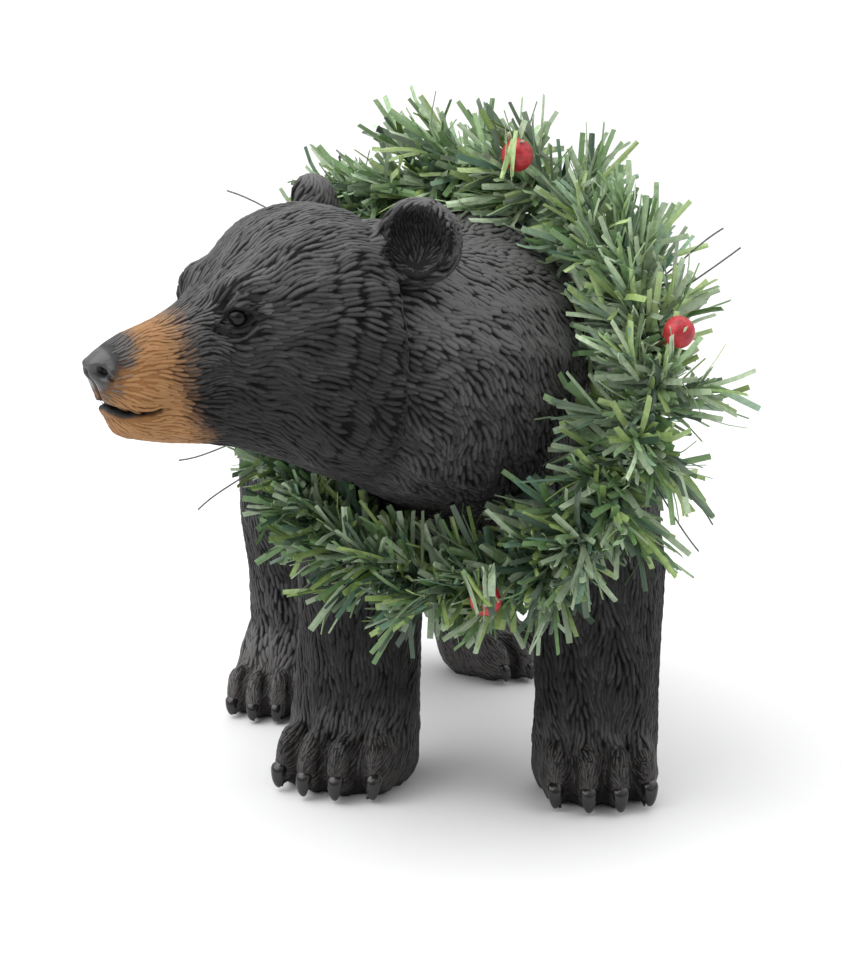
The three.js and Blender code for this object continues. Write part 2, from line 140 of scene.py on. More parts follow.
def make_world():
    """A white studio: bright overhead, dimmer low down, dimmest on the side that the figure faces."""
    world = bpy.data.worlds.new("studio")
    world.use_nodes = True
    nodes, links = world.node_tree.nodes, world.node_tree.links
    parts = nodes.new("ShaderNodeSeparateXYZ")
    links.new(nodes.new("ShaderNodeTexCoord").outputs["Generated"], parts.inputs[0])

    def spread(source, places, low, high):
        node = nodes.new("ShaderNodeMapRange")
        node.interpolation_type = "SMOOTHSTEP"
        for name, value in zip(("From Min", "From Max", "To Min", "To Max"), (*places, low, high)):
            node.inputs[name].default_value = value
        links.new(source, node.inputs["Value"])
        return node.outputs["Result"]

    product = nodes.new("ShaderNodeMath")
    product.operation = "MULTIPLY"
    links.new(spread(parts.outputs["Z"], RISING, HORIZON, ZENITH), product.inputs[0])
    links.new(spread(parts.outputs["Y"], FRONT_TO_BACK, DIM_FRONT, 1.0), product.inputs[1])
    lighting = nodes["Background"]
    links.new(product.outputs[0], lighting.inputs["Strength"])
    backdrop = nodes.new("ShaderNodeBackground")
    for background in (lighting, backdrop):
        background.inputs["Color"].default_value = (1.0, 1.0, 1.0, 1.0)
    chosen = nodes.new("ShaderNodeMixShader")
    links.new(nodes.new("ShaderNodeLightPath").outputs["Is Camera Ray"], chosen.inputs[0])
    links.new(lighting.outputs[0], chosen.inputs[1])
    links.new(backdrop.outputs[0], chosen.inputs[2])
    links.new(chosen.outputs[0], nodes["World Output"].inputs["Surface"])
    bpy.context.scene.world = world
    bpy.context.scene.view_settings.view_transform = "Standard"


def link(name, data):
    thing = bpy.data.objects.new(name, data)
    bpy.context.scene.collection.objects.link(thing)
    return thing


def make_lamp(name, where, power, size):
    lamp = link(name, bpy.data.lights.new(name, "AREA"))
    lamp.data.energy = power
    lamp.data.size = size
    lamp.location = Vector(where)
    lamp.rotation_euler = Vector(CAMERA_TARGET - where).to_track_quat("-Z", "Y").to_euler()


def make_floor():
    mesh = bpy.data.meshes.new("floor")
    corners = [(x * FLOOR_REACH, y * FLOOR_REACH, 0) for x, y in ((-1, -1), (1, -1), (1, 1), (-1, 1))]
    mesh.from_pydata(corners, [], [(0, 1, 2, 3)])
    material = bpy.data.materials.new("pale_floor")
    material.use_nodes = True
    shader = material.node_tree.nodes["Principled BSDF"]
    shader.inputs["Base Color"].default_value = FLOOR_GREY
    shader.inputs["Roughness"].default_value = FLOOR_ROUGHNESS
    mesh.materials.append(material)
    link("floor", mesh)


make_world()
for name, where, power, size in LAMPS:
    make_lamp(name, place(*where), power, size)
make_floor()
print("lamps:", len(LAMPS))

# %% [markdown]
# The casting's skin. A voxel remesh of the solid melts the joints between trunk, neck and legs
# into one even net of small faces, as clay would be smoothed over, and a few rounds of smoothing
# take the facets out. Smoothing alone shrinks a form, so every round is followed by one that
# swells it back.

# %% Skin helpers
def numbers_of(things, field, each, kind=float):
    """Reads a field of many things at once, one row for each thing."""
    flat = np.empty(len(things) * each, dtype=kind)
    things.foreach_get(field, flat)
    return flat.reshape(-1, each)


def points_of(mesh):
    return numbers_of(mesh.vertices, "co", 3)


def set_points(mesh, points):
    mesh.vertices.foreach_set("co", np.asarray(points, dtype=float).reshape(-1))
    mesh.update()


def normals_of(mesh):
    return numbers_of(mesh.vertex_normals, "vector", 3)


def average_of_neighbours(points, edges):
    count = len(points)
    ends = np.concatenate([edges[:, 0], edges[:, 1]])
    others = np.concatenate([edges[:, 1], edges[:, 0]])
    total = np.stack([np.bincount(ends, points[others, k], count) for k in range(3)], axis=1)
    return total / np.maximum(np.bincount(ends, minlength=count), 1)[:, None]


def relax(mesh, rounds, share, swell=0.52):
    """Smooths the mesh and swells it back, each point by its share."""
    points = points_of(mesh)
    edges = numbers_of(mesh.edges, "vertices", 2, np.int64)
    for _ in range(rounds):
        for step in (0.5, -swell):
            points += (average_of_neighbours(points, edges) - points) * (step * share)[:, None]
    set_points(mesh, points)


# %% Remesh the solid
SKIN_VOXEL = 1.42 * MM


def remeshed(node, voxel):
    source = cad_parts[node].data.copy()
    net = bmesh.new()
    net.from_mesh(source)
    bmesh.ops.remove_doubles(net, verts=net.verts, dist=1e-6)
    net.to_mesh(source)
    net.free()
    rough = link("rough", source)
    even = rough.modifiers.new("even", "REMESH")
    even.mode = "VOXEL"
    even.voxel_size = voxel
    graph = bpy.context.evaluated_depsgraph_get()
    mesh = bpy.data.meshes.new_from_object(rough.evaluated_get(graph))
    bpy.data.objects.remove(rough)
    return mesh


skin_mesh = remeshed("bear", SKIN_VOXEL)
skin_mesh.materials.clear()
print("skin:", len(skin_mesh.polygons), "faces after the remesh")

# %% Smooth it, but keep the soles flat and the toes crisp
SOLE_HEIGHT = 1.2 * MM
PAW_HEIGHT = 15 * MM
ON_THE_FLOOR = 0.3 * MM
SMOOTH_ROUNDS = 14
PAW_SMOOTHING = 0.25

start = points_of(skin_mesh)
height_share = np.clip((start[:, 2] - SOLE_HEIGHT) / PAW_HEIGHT, 0, 1)
relax(skin_mesh, SMOOTH_ROUNDS, PAW_SMOOTHING + (1 - PAW_SMOOTHING) * height_share)
settled = points_of(skin_mesh)
settled[start[:, 2] < ON_THE_FLOOR, 2] = 0.0
settled[:, 2] = np.maximum(settled[:, 2], 0.0)
set_points(skin_mesh, settled)
print("skin moved by up to", round(float(np.abs(settled - start).max() / MM), 2), "mm")

# %% [markdown]
# Three forms are still missing in the melted net. The crease behind the ruff is too sharp, so it
# is smoothed further. The front of the muzzle slopes back below the nose, so it is drawn in
# there. And the fur behind the cheek hangs in rows like shingles, so the skin rises in steps, one
# under each row.

# %% Ruff, muzzle and cheek
MELT_ROUNDS = 40
HEAD_BOTTOM = place(0, 0, 84)[2]
# heights on the head, and how much the front of the muzzle is drawn in there, in mm
NOSE_DRAW = [-16.0, -12.0, -9.0, -6.5, -5.5, -1.0, 1.5, 3.0], [0.0, 1.2, 1.8, 3.0, 2.6, 1.2, 0.4, 0.0]
NOSE_LOWERED = 2.0
ROW_STEP = 5.2
ROW_SLANT = 0.28
ROW_HIGH = 1.0 * MM
ROW_LIP = 0.22 # share of a row's length in which it rises at the front


def head_places(points):
    """Places in mm in the head's own frame: ahead, left, up."""
    local = (points - SHOULDERS) / MM - SKULL
    return np.stack([local @ AHEAD, local @ LEFT, local[:, 2]], axis=1)


def ramp(value, low, high):
    share = np.clip((value - low) / (high - low), 0, 1)
    return share * share * (3 - 2 * share)


def on_the_head(points):
    return points[:, 2] > HEAD_BOTTOM


def cheek_rows(points):
    """How far on in its row each point lies, from 0 to 1 at its front, and how clearly rows show there."""
    ahead, left, up = head_places(points).T
    bent = ahead + ROW_SLANT * up + 0.8 * np.sin(up / 5) + 0.6 * np.sin(up / 2.3 + 1)
    fade = ramp(ahead, -7, 1) * (1 - ramp(ahead, 15, 23)) * (1 - ramp(np.abs(up - 4), 16, 28))
    fade *= (np.abs(left) > 12) * on_the_head(points)
    return bent / ROW_STEP - np.floor(bent / ROW_STEP), fade


ahead, left, up = head_places(points_of(skin_mesh)).T
crease = ramp(ahead, -12, -7) * (1 - ramp(ahead, 2, 6)) * (up < 24) * on_the_head(points_of(skin_mesh))
relax(skin_mesh, MELT_ROUNDS, crease, 0.5)
carved = points_of(skin_mesh)
ahead, left, up = head_places(carved).T
drawn = np.interp(up, *NOSE_DRAW) * ramp(ahead, 54, 63) * on_the_head(carved)
lowered = NOSE_LOWERED * ramp(ahead, 56, 66) * ramp(up, -3, 4) * on_the_head(carved)
carved -= (drawn * MM)[:, None] * AHEAD + (lowered * MM)[:, None] * UP
set_points(skin_mesh, carved)
row, fade = cheek_rows(carved)
rise = (1 - row) * ramp(row, 0.0, ROW_LIP) - 0.4
carved += normals_of(skin_mesh) * (ROW_HIGH * rise * fade)[:, None]
set_points(skin_mesh, carved)
print("cheek: rows of", ROW_STEP, "mm")

# %% [markdown]
# The face and the paws carry details finer than the net, so their faces are split first: a
# sculptor, too, changes to a finer tool there. The nose and the eyes are split twice.

# %% Refine the face and the paws
EYES = [on_head(34.6, side * 14.0, 13.2) for side in (-1, 1)]
# middle and radius of a ball on the muzzle, and the radius round each eye, for each time of splitting
FINE_PLACES = [(on_head(59, 0, -3), 15 * MM, 9 * MM), (on_head(66, 0, 0), 9.5 * MM, 6 * MM)]
FINE_PAWS = (0.6 * MM, 17 * MM) # between these heights


def refine(mesh, wanted):
    net = bmesh.new()
    net.from_mesh(mesh)
    net.verts.ensure_lookup_table()
    edges = [e for e in net.edges if wanted[e.verts[0].index] and wanted[e.verts[1].index]]
    bmesh.ops.subdivide_edges(net, edges=edges, cuts=1, use_grid_fill=True)
    bmesh.ops.triangulate(net, faces=[f for f in net.faces if len(f.verts) > 4])
    net.to_mesh(mesh)
    net.free()
    mesh.update()


def near(points, centres, radius):
    close = np.zeros(len(points), bool)
    for centre in centres:
        close |= np.linalg.norm(points - centre, axis=1) < radius
    return close


for middle, reach, round_eye in FINE_PLACES:
    points = points_of(skin_mesh)
    refine(skin_mesh, near(points, [middle], reach) | near(points, EYES, round_eye))
heights = points_of(skin_mesh)[:, 2]
refine(skin_mesh, (heights > FINE_PAWS[0]) & (heights < FINE_PAWS[1]))
print("skin:", len(skin_mesh.polygons), "faces after refining")

# %% [markdown]
# Now the sculptor's finer marks. Each is a small brush: it moves the points near a line or a
# spot, in or out along the skin, and its strength fades with the distance. Lids stand round the
# eyes, the lips part along a groove, the nostrils are pits with a rim, and grooves divide the
# toes.

# %% Brushes
def distance_to_line(points, line):
    best = np.full(len(points), 1e9)
    for a, b in zip(line[:-1], line[1:]):
        along = b - a
        share = np.clip((points - a) @ along / (along @ along), 0, 1)
        gap = np.linalg.norm(points - a - share[:, None] * along, axis=1)
        best = np.minimum(best, gap)
    return best


def press(distance, width, depth):
    """Moves the skin out for a positive depth, in for a negative one; width and depth are in mm."""
    points = points_of(skin_mesh)
    points += normals_of(skin_mesh) * (depth * MM * np.exp(-(distance / (width * MM)) ** 2))[:, None]
    set_points(skin_mesh, points)


def press_line(line, width, depth):
    press(distance_to_line(points_of(skin_mesh), line), width, depth)


def press_spot(spot, width, depth):
    press(np.linalg.norm(points_of(skin_mesh) - spot, axis=1), width, depth)


# %% Lids and lips
EYE_PLACE = (34.4, 13.6, 13.0)
EYE_SIZE = 2.3 * MM
# steps from the eye's middle along the head, ahead and up, from the front corner to the hind one
UPPER_LID = [(4.4, -1.9), (2.8, 1.2), (0.4, 2.7), (-2.2, 2.3), (-4.4, 0.4)]
LOWER_LID = [(4.4, -1.9), (2.4, -2.8), (0.0, -3.0), (-2.4, -2.0), (-4.4, 0.4)]
LIPS = [
    (62.4, 0.0, -6.5), (62.2, 2.2, -6.8), (61.3, 4.4, -7.4), (60.1, 6.1, -7.9),
    (58.5, 7.6, -8.2), (56.7, 8.8, -8.3), (54.7, 9.8, -8.2), (52.8, 10.6, -7.9),
]
# width and depth of each brush
SOCKET = (2.6, -1.5)
EYE_CORNER = (0.55, -0.9)
LIP_GROOVE = (0.5, -1.6)
LIP_RIM_WIDTH = 0.9
# each lid and the crease beyond it: its line, how far that is lifted, and its brush
LID_MARKS = [
    (UPPER_LID, 0.0, 0.75, 1.25), (LOWER_LID, 0.0, 0.75, 1.05),
    (UPPER_LID, 1.8, 0.7, -0.9), (LOWER_LID, -1.7, 0.7, -0.9),
]
CORNER_ENDS = (0.7, 1.35) # as shares of the way from the eye's middle to its corner
LIP_RIMS = [(1.6, 0.35), (-1.7, 0.45)] # how far below the groove, and how high
DOWN_THE_GROOVE = (0.0, 0.8 * MM, 1.6 * MM) # depths under the skin at which a groove's line is kept


def mirrored(points, side):
    return [on_head(ahead, side * left, up) for ahead, left, up in points]


def tree_of(mesh):
    corners = [tuple(face.vertices) for face in mesh.polygons]
    return BVHTree.FromPolygons([tuple(point) for point in points_of(mesh)], corners)


def laid(line, tree, under=0.0):
    """Drops the points of a line on the skin, or that far under it."""
    nearest = [tree.find_nearest(Vector(point))[:2] for point in line]
    return [np.array(spot) - np.array(normal) * under for spot, normal in nearest]


def nearest_of(points, lines):
    return np.min([distance_to_line(points, line) for line in lines], axis=0)


def lid(side, steps, lift=0.0):
    ahead, left, up = EYE_PLACE
    return [on_head(ahead + a, side * (left - 0.45 * a), up + u + lift) for a, u in steps]


EYE_MIDDLES = mirrored([EYE_PLACE], -1) + mirrored([EYE_PLACE], 1)
lip_lines, nose_lines = [], []
for side, eye in zip((-1, 1), EYE_MIDDLES):
    tree = tree_of(skin_mesh)
    press_spot(eye, *SOCKET)
    for steps, lift, width, depth in LID_MARKS:
        press_line(laid(lid(side, steps, lift), tree), width, depth)
    for a, u in (UPPER_LID[0], UPPER_LID[-1]):
        press_line(laid(lid(side, [(a * end, u * end) for end in CORNER_ENDS]), tree), *EYE_CORNER)
    tree = tree_of(skin_mesh)
    lip_lines += [laid(mirrored(LIPS, side), tree, under) for under in DOWN_THE_GROOVE]
    press_line(laid(mirrored(LIPS, side), tree), *LIP_GROOVE)
    for drop, high in LIP_RIMS:
        rim = mirrored([(a - 0.4, b, c - drop) for a, b, c in LIPS[1:-1]], side)
        press_line(laid(rim, tree), LIP_RIM_WIDTH, high)
print("lids and lips: done")

# %% Nostrils
NOSTRIL = (65.0, 4.2, 1.2)
NOSTRIL_COMMA = [(65.0, 4.2, 1.2), (64.0, 5.3, 0.6), (62.8, 6.1, -0.4)]
FURROW = [(66.6, 0.4, 1.4), (65.2, 0.6, -1.0), (63.8, 0.6, -3.4), (62.6, 0.4, -6.0)]
NOSE_WING = [(66.4, 2.2, 3.4), (65.0, 5.0, 3.2), (63.0, 6.6, 1.8), (62.2, 7.0, -0.2)]
# width and depth of each brush
WING_BRUSH = (1.0, 0.45)
PIT_BRUSH = (1.6, -3.0)
COMMA_BRUSH = (0.7, -1.1)
FURROW_BRUSH = (0.55, -1.1)


def on_nose(points, side=1, under=0.0):
    return laid(mirrored(points, side), skin_tree, under)


skin_tree = tree_of(skin_mesh)
for under in DOWN_THE_GROOVE:
    nose_lines += [on_nose(NOSTRIL_COMMA, side, under) for side in (-1, 1)] + [on_nose(FURROW, 1, under)]
for side in (-1, 1):
    press_line(on_nose(NOSE_WING, side), *WING_BRUSH)
    press_spot(on_nose([NOSTRIL], side)[0], *PIT_BRUSH)
    press_line(on_nose(NOSTRIL_COMMA, side), *COMMA_BRUSH)
press_line(on_nose(FURROW), *FURROW_BRUSH)
print("nostrils: done")

# %% Toes
# as in the solid, in mm: the leg's middle over the sole, its turn in degrees, half width, and the toes
FORE_TOE = {"wide": 5.0, "long": 10.5, "high": 9.2, "middle": 7.2, "reach": 22.5}
HIND_TOE = {"wide": 4.2, "long": 9.0, "high": 7.6, "middle": 5.8, "reach": 21.0}
PAWS = [
    ((-30.0, 10.5), 34, 17.2, FORE_TOE),
    ((29.5, -11.5), 8, 16.0, FORE_TOE),
    ((-38.5, 78.0), 22, 13.6, HIND_TOE),
    ((26.0, 100.0), -38, 13.2, HIND_TOE),
]
TOES = 4
TOE_STEP = 4.5
TOE_BULGE = 1.6
TOE_ROUND = 3.1
FOLD_BRUSH = (2.0, -0.5)
GROOVE_BRUSH = (1.15, -2.4)
GROOVE_ANGLES = (-45, -20, 5, 30, 50, 66, 76)
BACK_ANGLES = (0, 30, 60)


def paw_frame(paw):
    """The paw's middle on the floor, in mm, and its ways across and ahead."""
    (x, y), turn, *_ = paw
    turn = radians(turn)
    across = np.array([cos(turn), -sin(turn), 0.0])
    ahead = np.array([-sin(turn), -cos(turn), 0.0])
    return np.array([x, y, 0.0]), across, ahead


def toe_places(paw):
    """Each toe's middle in mm and the way it points."""
    middle, across, ahead = paw_frame(paw)
    wide, toe = paw[2], paw[3]
    places = []
    for i in range(TOES):
        share = 2 * i / (TOES - 1) - 1
        front = toe["reach"] - TOE_STEP * share * share
        knuckle = middle + across * share * (wide - toe["wide"]) + ahead * (front - toe["long"])
        way = ahead + across * share * 0.1
        places.append((knuckle + UP * toe["middle"], way / np.linalg.norm(way)))
    return places


def toe_grooves(paw):
    toe = paw[3]
    places = toe_places(paw)
    grooves = []
    for (a, way_a), (b, way_b) in zip(places[:-1], places[1:]):
        middle, way = (a + b) / 2, (way_a + way_b) / 2
        line = []
        for turn in map(radians, GROOVE_ANGLES):
            round_toe = way * toe["long"] * 0.9 * cos(turn) + UP * toe["high"] * 0.92 * sin(turn)
            line.append(place(*(middle + round_toe)))
        grooves.append(line)
    return grooves


def toe_backs(paw):
    """A line over the back of each toe, and one across the paw above each toe."""
    toe = paw[3]
    across = paw_frame(paw)[1]
    backs, folds = [], []
    for knuckle, way in toe_places(paw):
        over = [
            place(*(knuckle + way * toe["long"] * cos(turn) + UP * toe["high"] * sin(turn)))
            for turn in map(radians, BACK_ANGLES)
        ]
        root = knuckle + way * toe["long"] * 0.25 + UP * (toe["high"] + 1.2)
        backs.append(over)
        folds.append([place(*(root + across * toe["wide"] * 0.7 * out)) for out in (-1, 0, 1)])
    return backs, folds


for paw in PAWS:
    backs, folds = toe_backs(paw)
    for back in backs:
        press_line(back, TOE_ROUND, TOE_BULGE)
    for fold in folds:
        press_line(fold, *FOLD_BRUSH)
    for groove in toe_grooves(paw):
        press_line(groove, *GROOVE_BRUSH)
flat = points_of(skin_mesh)
flat[:, 2] = np.maximum(flat[:, 2], 0.0)
set_points(skin_mesh, flat)
print("toes divided on", len(PAWS), "paws")

# %% Round the soles' edges
SOLE_ROUND = 7.0
SOLE_TUCK = 2.2
PAW_REACH = 32


def tuck_soles(mesh):
    """Draws the foot in beside and behind where it meets the floor, most at the very bottom."""
    points = points_of(mesh)
    local = (points - SHOULDERS) / MM
    low = np.clip(1 - local[:, 2] / SOLE_ROUND, 0, 1) ** 2
    for paw in PAWS:
        middle, _, ahead = paw_frame(paw)
        offset = local - middle
        offset[:, 2] = 0
        far = np.linalg.norm(offset, axis=1)
        mine = (far < PAW_REACH) & (low > 0)
        aside = 1 - ramp(offset @ ahead, 6, 13)
        tuck = SOLE_TUCK * low * ramp(far, 4, 12) * aside * mine
        points -= offset / np.maximum(far, 1)[:, None] * tuck[:, None] * MM
    set_points(mesh, points)


tuck_soles(skin_mesh)
print("soles drawn in by up to", SOLE_TUCK, "mm")

# %% The finished skin
skin = link("bear_skin", skin_mesh)
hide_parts("bear")
for polygon in skin_mesh.polygons:
    polygon.use_smooth = True
skin_tree = tree_of(skin_mesh)
skin_normals = normals_of(skin_mesh)
face_normals = np.array([
    skin_normals[list(f.vertices)].mean(axis=0) for f in skin_mesh.polygons
])
face_normals /= np.linalg.norm(face_normals, axis=1)[:, None]
print("skin:", len(skin_mesh.polygons), "faces")

# %% [markdown]
# Paint. The casting is black resin with a tan muzzle, brown on the paws, and a dry brush of grey
# that only caught the crests of the strokes. Painted light goes with the brush: it is lighter on
# upper sides, and painted shade darkens undersides, the fore legs under the wreath and the places
# round the eyes. Where each colour lies is written into the meshes as a colour attribute named
# tone: red for the muzzle, green for the paws, blue for how much of the brush and painted light a
# point took, and alpha, which is low on the nose alone, for where the paint is dull. One material
# reads it, so skin and strokes always agree.

# %% Where the colours lie
# heights on the head, and how far ahead the tan begins there, it ends, and the nose's pad begins
MUZZLE_EDGE = [-16.0, -12.5, -8.0, -3.0, 7.0, 13.0], [41.5, 44.5, 47.0, 49.4, 49.4, 48.0]
NOSE_EDGE = [-9.0, -6.5, -3.5, -0.5, 2.0, 4.5, 6.5, 12.0], [66.5, 64.4, 63.6, 62.4, 61.0, 59.4, 58.2, 57.4]
PAD_EDGE = [-7.0, -3.0, 2.0, 7.0], [67.5, 63.8, 61.4, 62.4]
TAN_FADE = 4.2
EAR_PLACE = (-6, 26.5, 29)
EAR_TURN = 0.76


def past_edge(ahead, up, edge, low, high):
    return ramp(ahead - np.interp(up, *edge), low, high)


def tan_share(points):
    """How far a place lies on the tan muzzle; the tan fades out softly in front of the eyes."""
    ahead, _, up = head_places(points).T
    return past_edge(ahead, up, MUZZLE_EDGE, -TAN_FADE, TAN_FADE)


def nose_share(points):
    """Where the skin shows smooth, without strokes: the pad of the nose."""
    ahead, _, up = head_places(points).T
    return past_edge(ahead, up, PAD_EDGE, -0.4, 0.8) * (up < 14)


def ear_frame(side):
    """The middle of an ear's hollow and the way that it faces."""
    ahead, left, up = EAR_PLACE
    turn = -HEAD_TURN + side * EAR_TURN
    return on_head(ahead, side * left, up), np.array([sin(turn), -cos(turn), 0.0])


EARS = [ear_frame(side) for side in (-1, 1)]


def ear_share(points):
    """Where the hollows of the ears are."""
    bare = np.zeros(len(points))
    for middle, facing in EARS:
        offset = (points - middle) / MM
        along = offset @ facing
        aside = np.linalg.norm(offset - along[:, None] * facing, axis=1)
        hollow = (1 - ramp(aside, 7.0, 8.2)) * ramp(along, -3.5, -1.5) * (along < 9)
        bare = np.maximum(bare, hollow)
    return bare


def tones(points, crest_and_light):
    """The tone of each point: on the muzzle, on a paw, how much brush and painted light it took, and how
    dull it is.
    """
    ahead, left, up = head_places(points).T
    near_head = (np.linalg.norm(np.stack([left, up], axis=1), axis=1) < 30) & (ahead < 75)
    muzzle = tan_share(points) * near_head * (1 - past_edge(ahead, up, NOSE_EDGE, -1.8, 1.4))
    lips_from = (0.4 + 0.8 * ramp(ahead, 57.0, 61.0)) * MM
    lips_to = (0.8 + 1.3 * ramp(ahead, 56.0, 61.0)) * MM
    muzzle *= ramp(nearest_of(points, lip_lines), lips_from, lips_to)
    paw = 1 - ramp(points[:, 2] / MM, 10, 26)
    return np.stack([muzzle, paw, crest_and_light, 1 - nose_share(points)], axis=1)


def write_colours(mesh, name, values):
    layer = mesh.attributes.new(name, "FLOAT_COLOR", "POINT")
    layer.data.foreach_set("color", np.asarray(values, dtype=float).reshape(-1))


# %% Where the dry brush caught, with painted light and shade
# least share, on faces turned down: painted shade underneath, with upper sides lighter as painted light
BRUSH_LEAST_IN_SHADE = 0.42
# lighter on the neck and hind legs; painted shade on the fore legs under the wreath and round the eyes
BRUSH_AND_LIGHT_EXTRA = {"neck": 0.6, "hind_legs": 0.4, "fore_legs": -0.15, "round_eye": -0.15}
# how much of the brush the skin between the strokes took
SKIN_PAINT = 0.1
EAR_PAINT = 0.12
NOSE_PAINT = 0.5
MUZZLE_PAINT = 0.34
# the bare lids take a lighter paint: partly the dry brush, partly a painted highlight
LID_PAINT_AND_HIGHLIGHT = 0.5
PAW_PAINT = 0.42
GROOVE_PAINT = 0.1 # share of it that is left in the grooves of lips and nose


def eye_gap(points):
    return np.min([np.linalg.norm(points - eye, axis=1) for eye in EYES], axis=0)


def brush_and_light_share(points, normals):
    """How much of the dry brush a place took, with painted light and shade: lighter on top and on the neck
    and hind legs, painted shade underneath, on the fore legs and round the eyes.
    """
    _, y, z = ((points - SHOULDERS) / MM).T
    ahead = head_places(points)[:, 0]
    # painted light: faces turned up take more of the brush, faces turned down less
    share = BRUSH_LEAST_IN_SHADE + (1 - BRUSH_LEAST_IN_SHADE) * ramp(normals[:, 2], -0.3, 0.8)
    share = 1 + (share - 1) * ramp(z, 14, 26) * (1 - tan_share(points) * on_the_head(points))
    places = {
        "neck": ramp(z, 70, 100) * (1 - ramp(y, 0, 28)) * (1 - ramp(ahead, -8, 2)),
        "hind_legs": ramp(y, 36, 70) * (1 - ramp(z, 36, 70)),
        "fore_legs": (1 - ramp(y, 30, 50)) * (1 - ramp(z, 56, 80)),
        # painted shade round the eyes
        "round_eye": 1 - ramp(eye_gap(points), 3.5 * MM, 7 * MM),
    }
    return share * (1 + sum(BRUSH_AND_LIGHT_EXTRA[name] * places[name] for name in places))


def skin_paint(points):
    ahead, _, up = head_places(points).T
    paint = np.full(len(points), SKIN_PAINT)
    for share, value in (
        (ear_share(points), EAR_PAINT),
        (tan_share(points) * on_the_head(points), MUZZLE_PAINT),
        (past_edge(ahead, up, NOSE_EDGE, -2, 2) * on_the_head(points), NOSE_PAINT),
        (1 - ramp(eye_gap(points), 4 * MM, 6 * MM), LID_PAINT_AND_HIGHLIGHT),
        (1 - ramp(points[:, 2], 9 * MM, 18 * MM), PAW_PAINT),
    ):
        paint += (value - paint) * share
    in_groove = 1 - ramp(nearest_of(points, lip_lines + nose_lines), 0.35 * MM, 0.85 * MM)
    return paint * (1 - (1 - GROOVE_PAINT) * in_groove)


skin_points = points_of(skin_mesh)
# the skin's brush share, with painted light and shade
skin_brush_and_light = skin_paint(skin_points) * brush_and_light_share(skin_points, skin_normals)
write_colours(skin_mesh, "tone", tones(skin_points, skin_brush_and_light))
print("points in the ears:", int((ear_share(skin_points) > 0.5).sum()))

# %% Node helpers
class Recipe:
    """A material's nodes, added one by one from the surface back to the noise."""

    def __init__(self, name):
        self.material = bpy.data.materials.new(name)
        self.material.use_nodes = True
        self.nodes = self.material.node_tree.nodes
        self.links = self.material.node_tree.links
        self.shader = self.nodes["Principled BSDF"]

    def add(self, kind, **settings):
        node = self.nodes.new(kind)
        for name, value in settings.items():
            setattr(node, name, value)
        return node

    def join(self, source, target):
        self.links.new(source, target)

    def noise(self, scale, detail, roughness=0.6):
        where = self.add("ShaderNodeTexCoord").outputs["Object"]
        node = self.add("ShaderNodeTexNoise")
        node.inputs["Scale"].default_value = scale
        node.inputs["Detail"].default_value = detail
        node.inputs["Roughness"].default_value = roughness
        self.join(where, node.inputs["Vector"])
        return node.outputs["Fac"]

    def ramp(self, source, stops):
        node = self.add("ShaderNodeValToRGB")
        elements = node.color_ramp.elements
        while len(elements) < len(stops):
            elements.new(0.5)
        for element, (where, colour) in zip(elements, stops):
            element.position = where
            element.color = (*colour, 1.0)
        self.join(source, node.inputs["Fac"])
        return node.outputs["Color"]

    def mix(self, share, first, second):
        node = self.add("ShaderNodeMix", data_type="RGBA")
        self.join(share, node.inputs["Factor"])
        for value, socket in ((first, node.inputs[6]), (second, node.inputs[7])):
            if isinstance(value, tuple):
                socket.default_value = (*value, 1.0)
            else:
                self.join(value, socket)
        return node.outputs[2]

    def scaled(self, source, low, high, out_low, out_high):
        node = self.add("ShaderNodeMapRange")
        limits = {"From Min": low, "From Max": high, "To Min": out_low, "To Max": out_high}
        for socket, value in limits.items():
            node.inputs[socket].default_value = value
        self.join(source, node.inputs["Value"])
        return node.outputs["Result"]

    def maths(self, operation, *values):
        node = self.add("ShaderNodeMath", operation=operation)
        for value, socket in zip(values, node.inputs):
            if isinstance(value, float):
                socket.default_value = value
            else:
                self.join(value, socket)
        return node.outputs[0]

    def surface(self, **sources):
        for name, source in sources.items():
            self.join(source, self.shader.inputs[name.replace("_", " ")])

    def bump(self, height, strength, distance):
        node = self.add("ShaderNodeBump")
        node.inputs["Strength"].default_value = strength
        node.inputs["Distance"].default_value = distance
        self.join(height, node.inputs["Height"])
        self.join(node.outputs["Normal"], self.shader.inputs["Normal"])


# %% Painted resin
FUR_GROOVE = (0.003, 0.003, 0.003)
FUR_BODY = (0.028, 0.0275, 0.028)
FUR_CREST = (0.118, 0.116, 0.117)
TAN_GROOVE = (0.048, 0.02, 0.009)
TAN_BODY = (0.235, 0.112, 0.042)
TAN_CREST = (0.34, 0.19, 0.085)
PAW_DARK = (0.006, 0.005, 0.0045)
PAW_BROWN = (0.09, 0.07, 0.062)


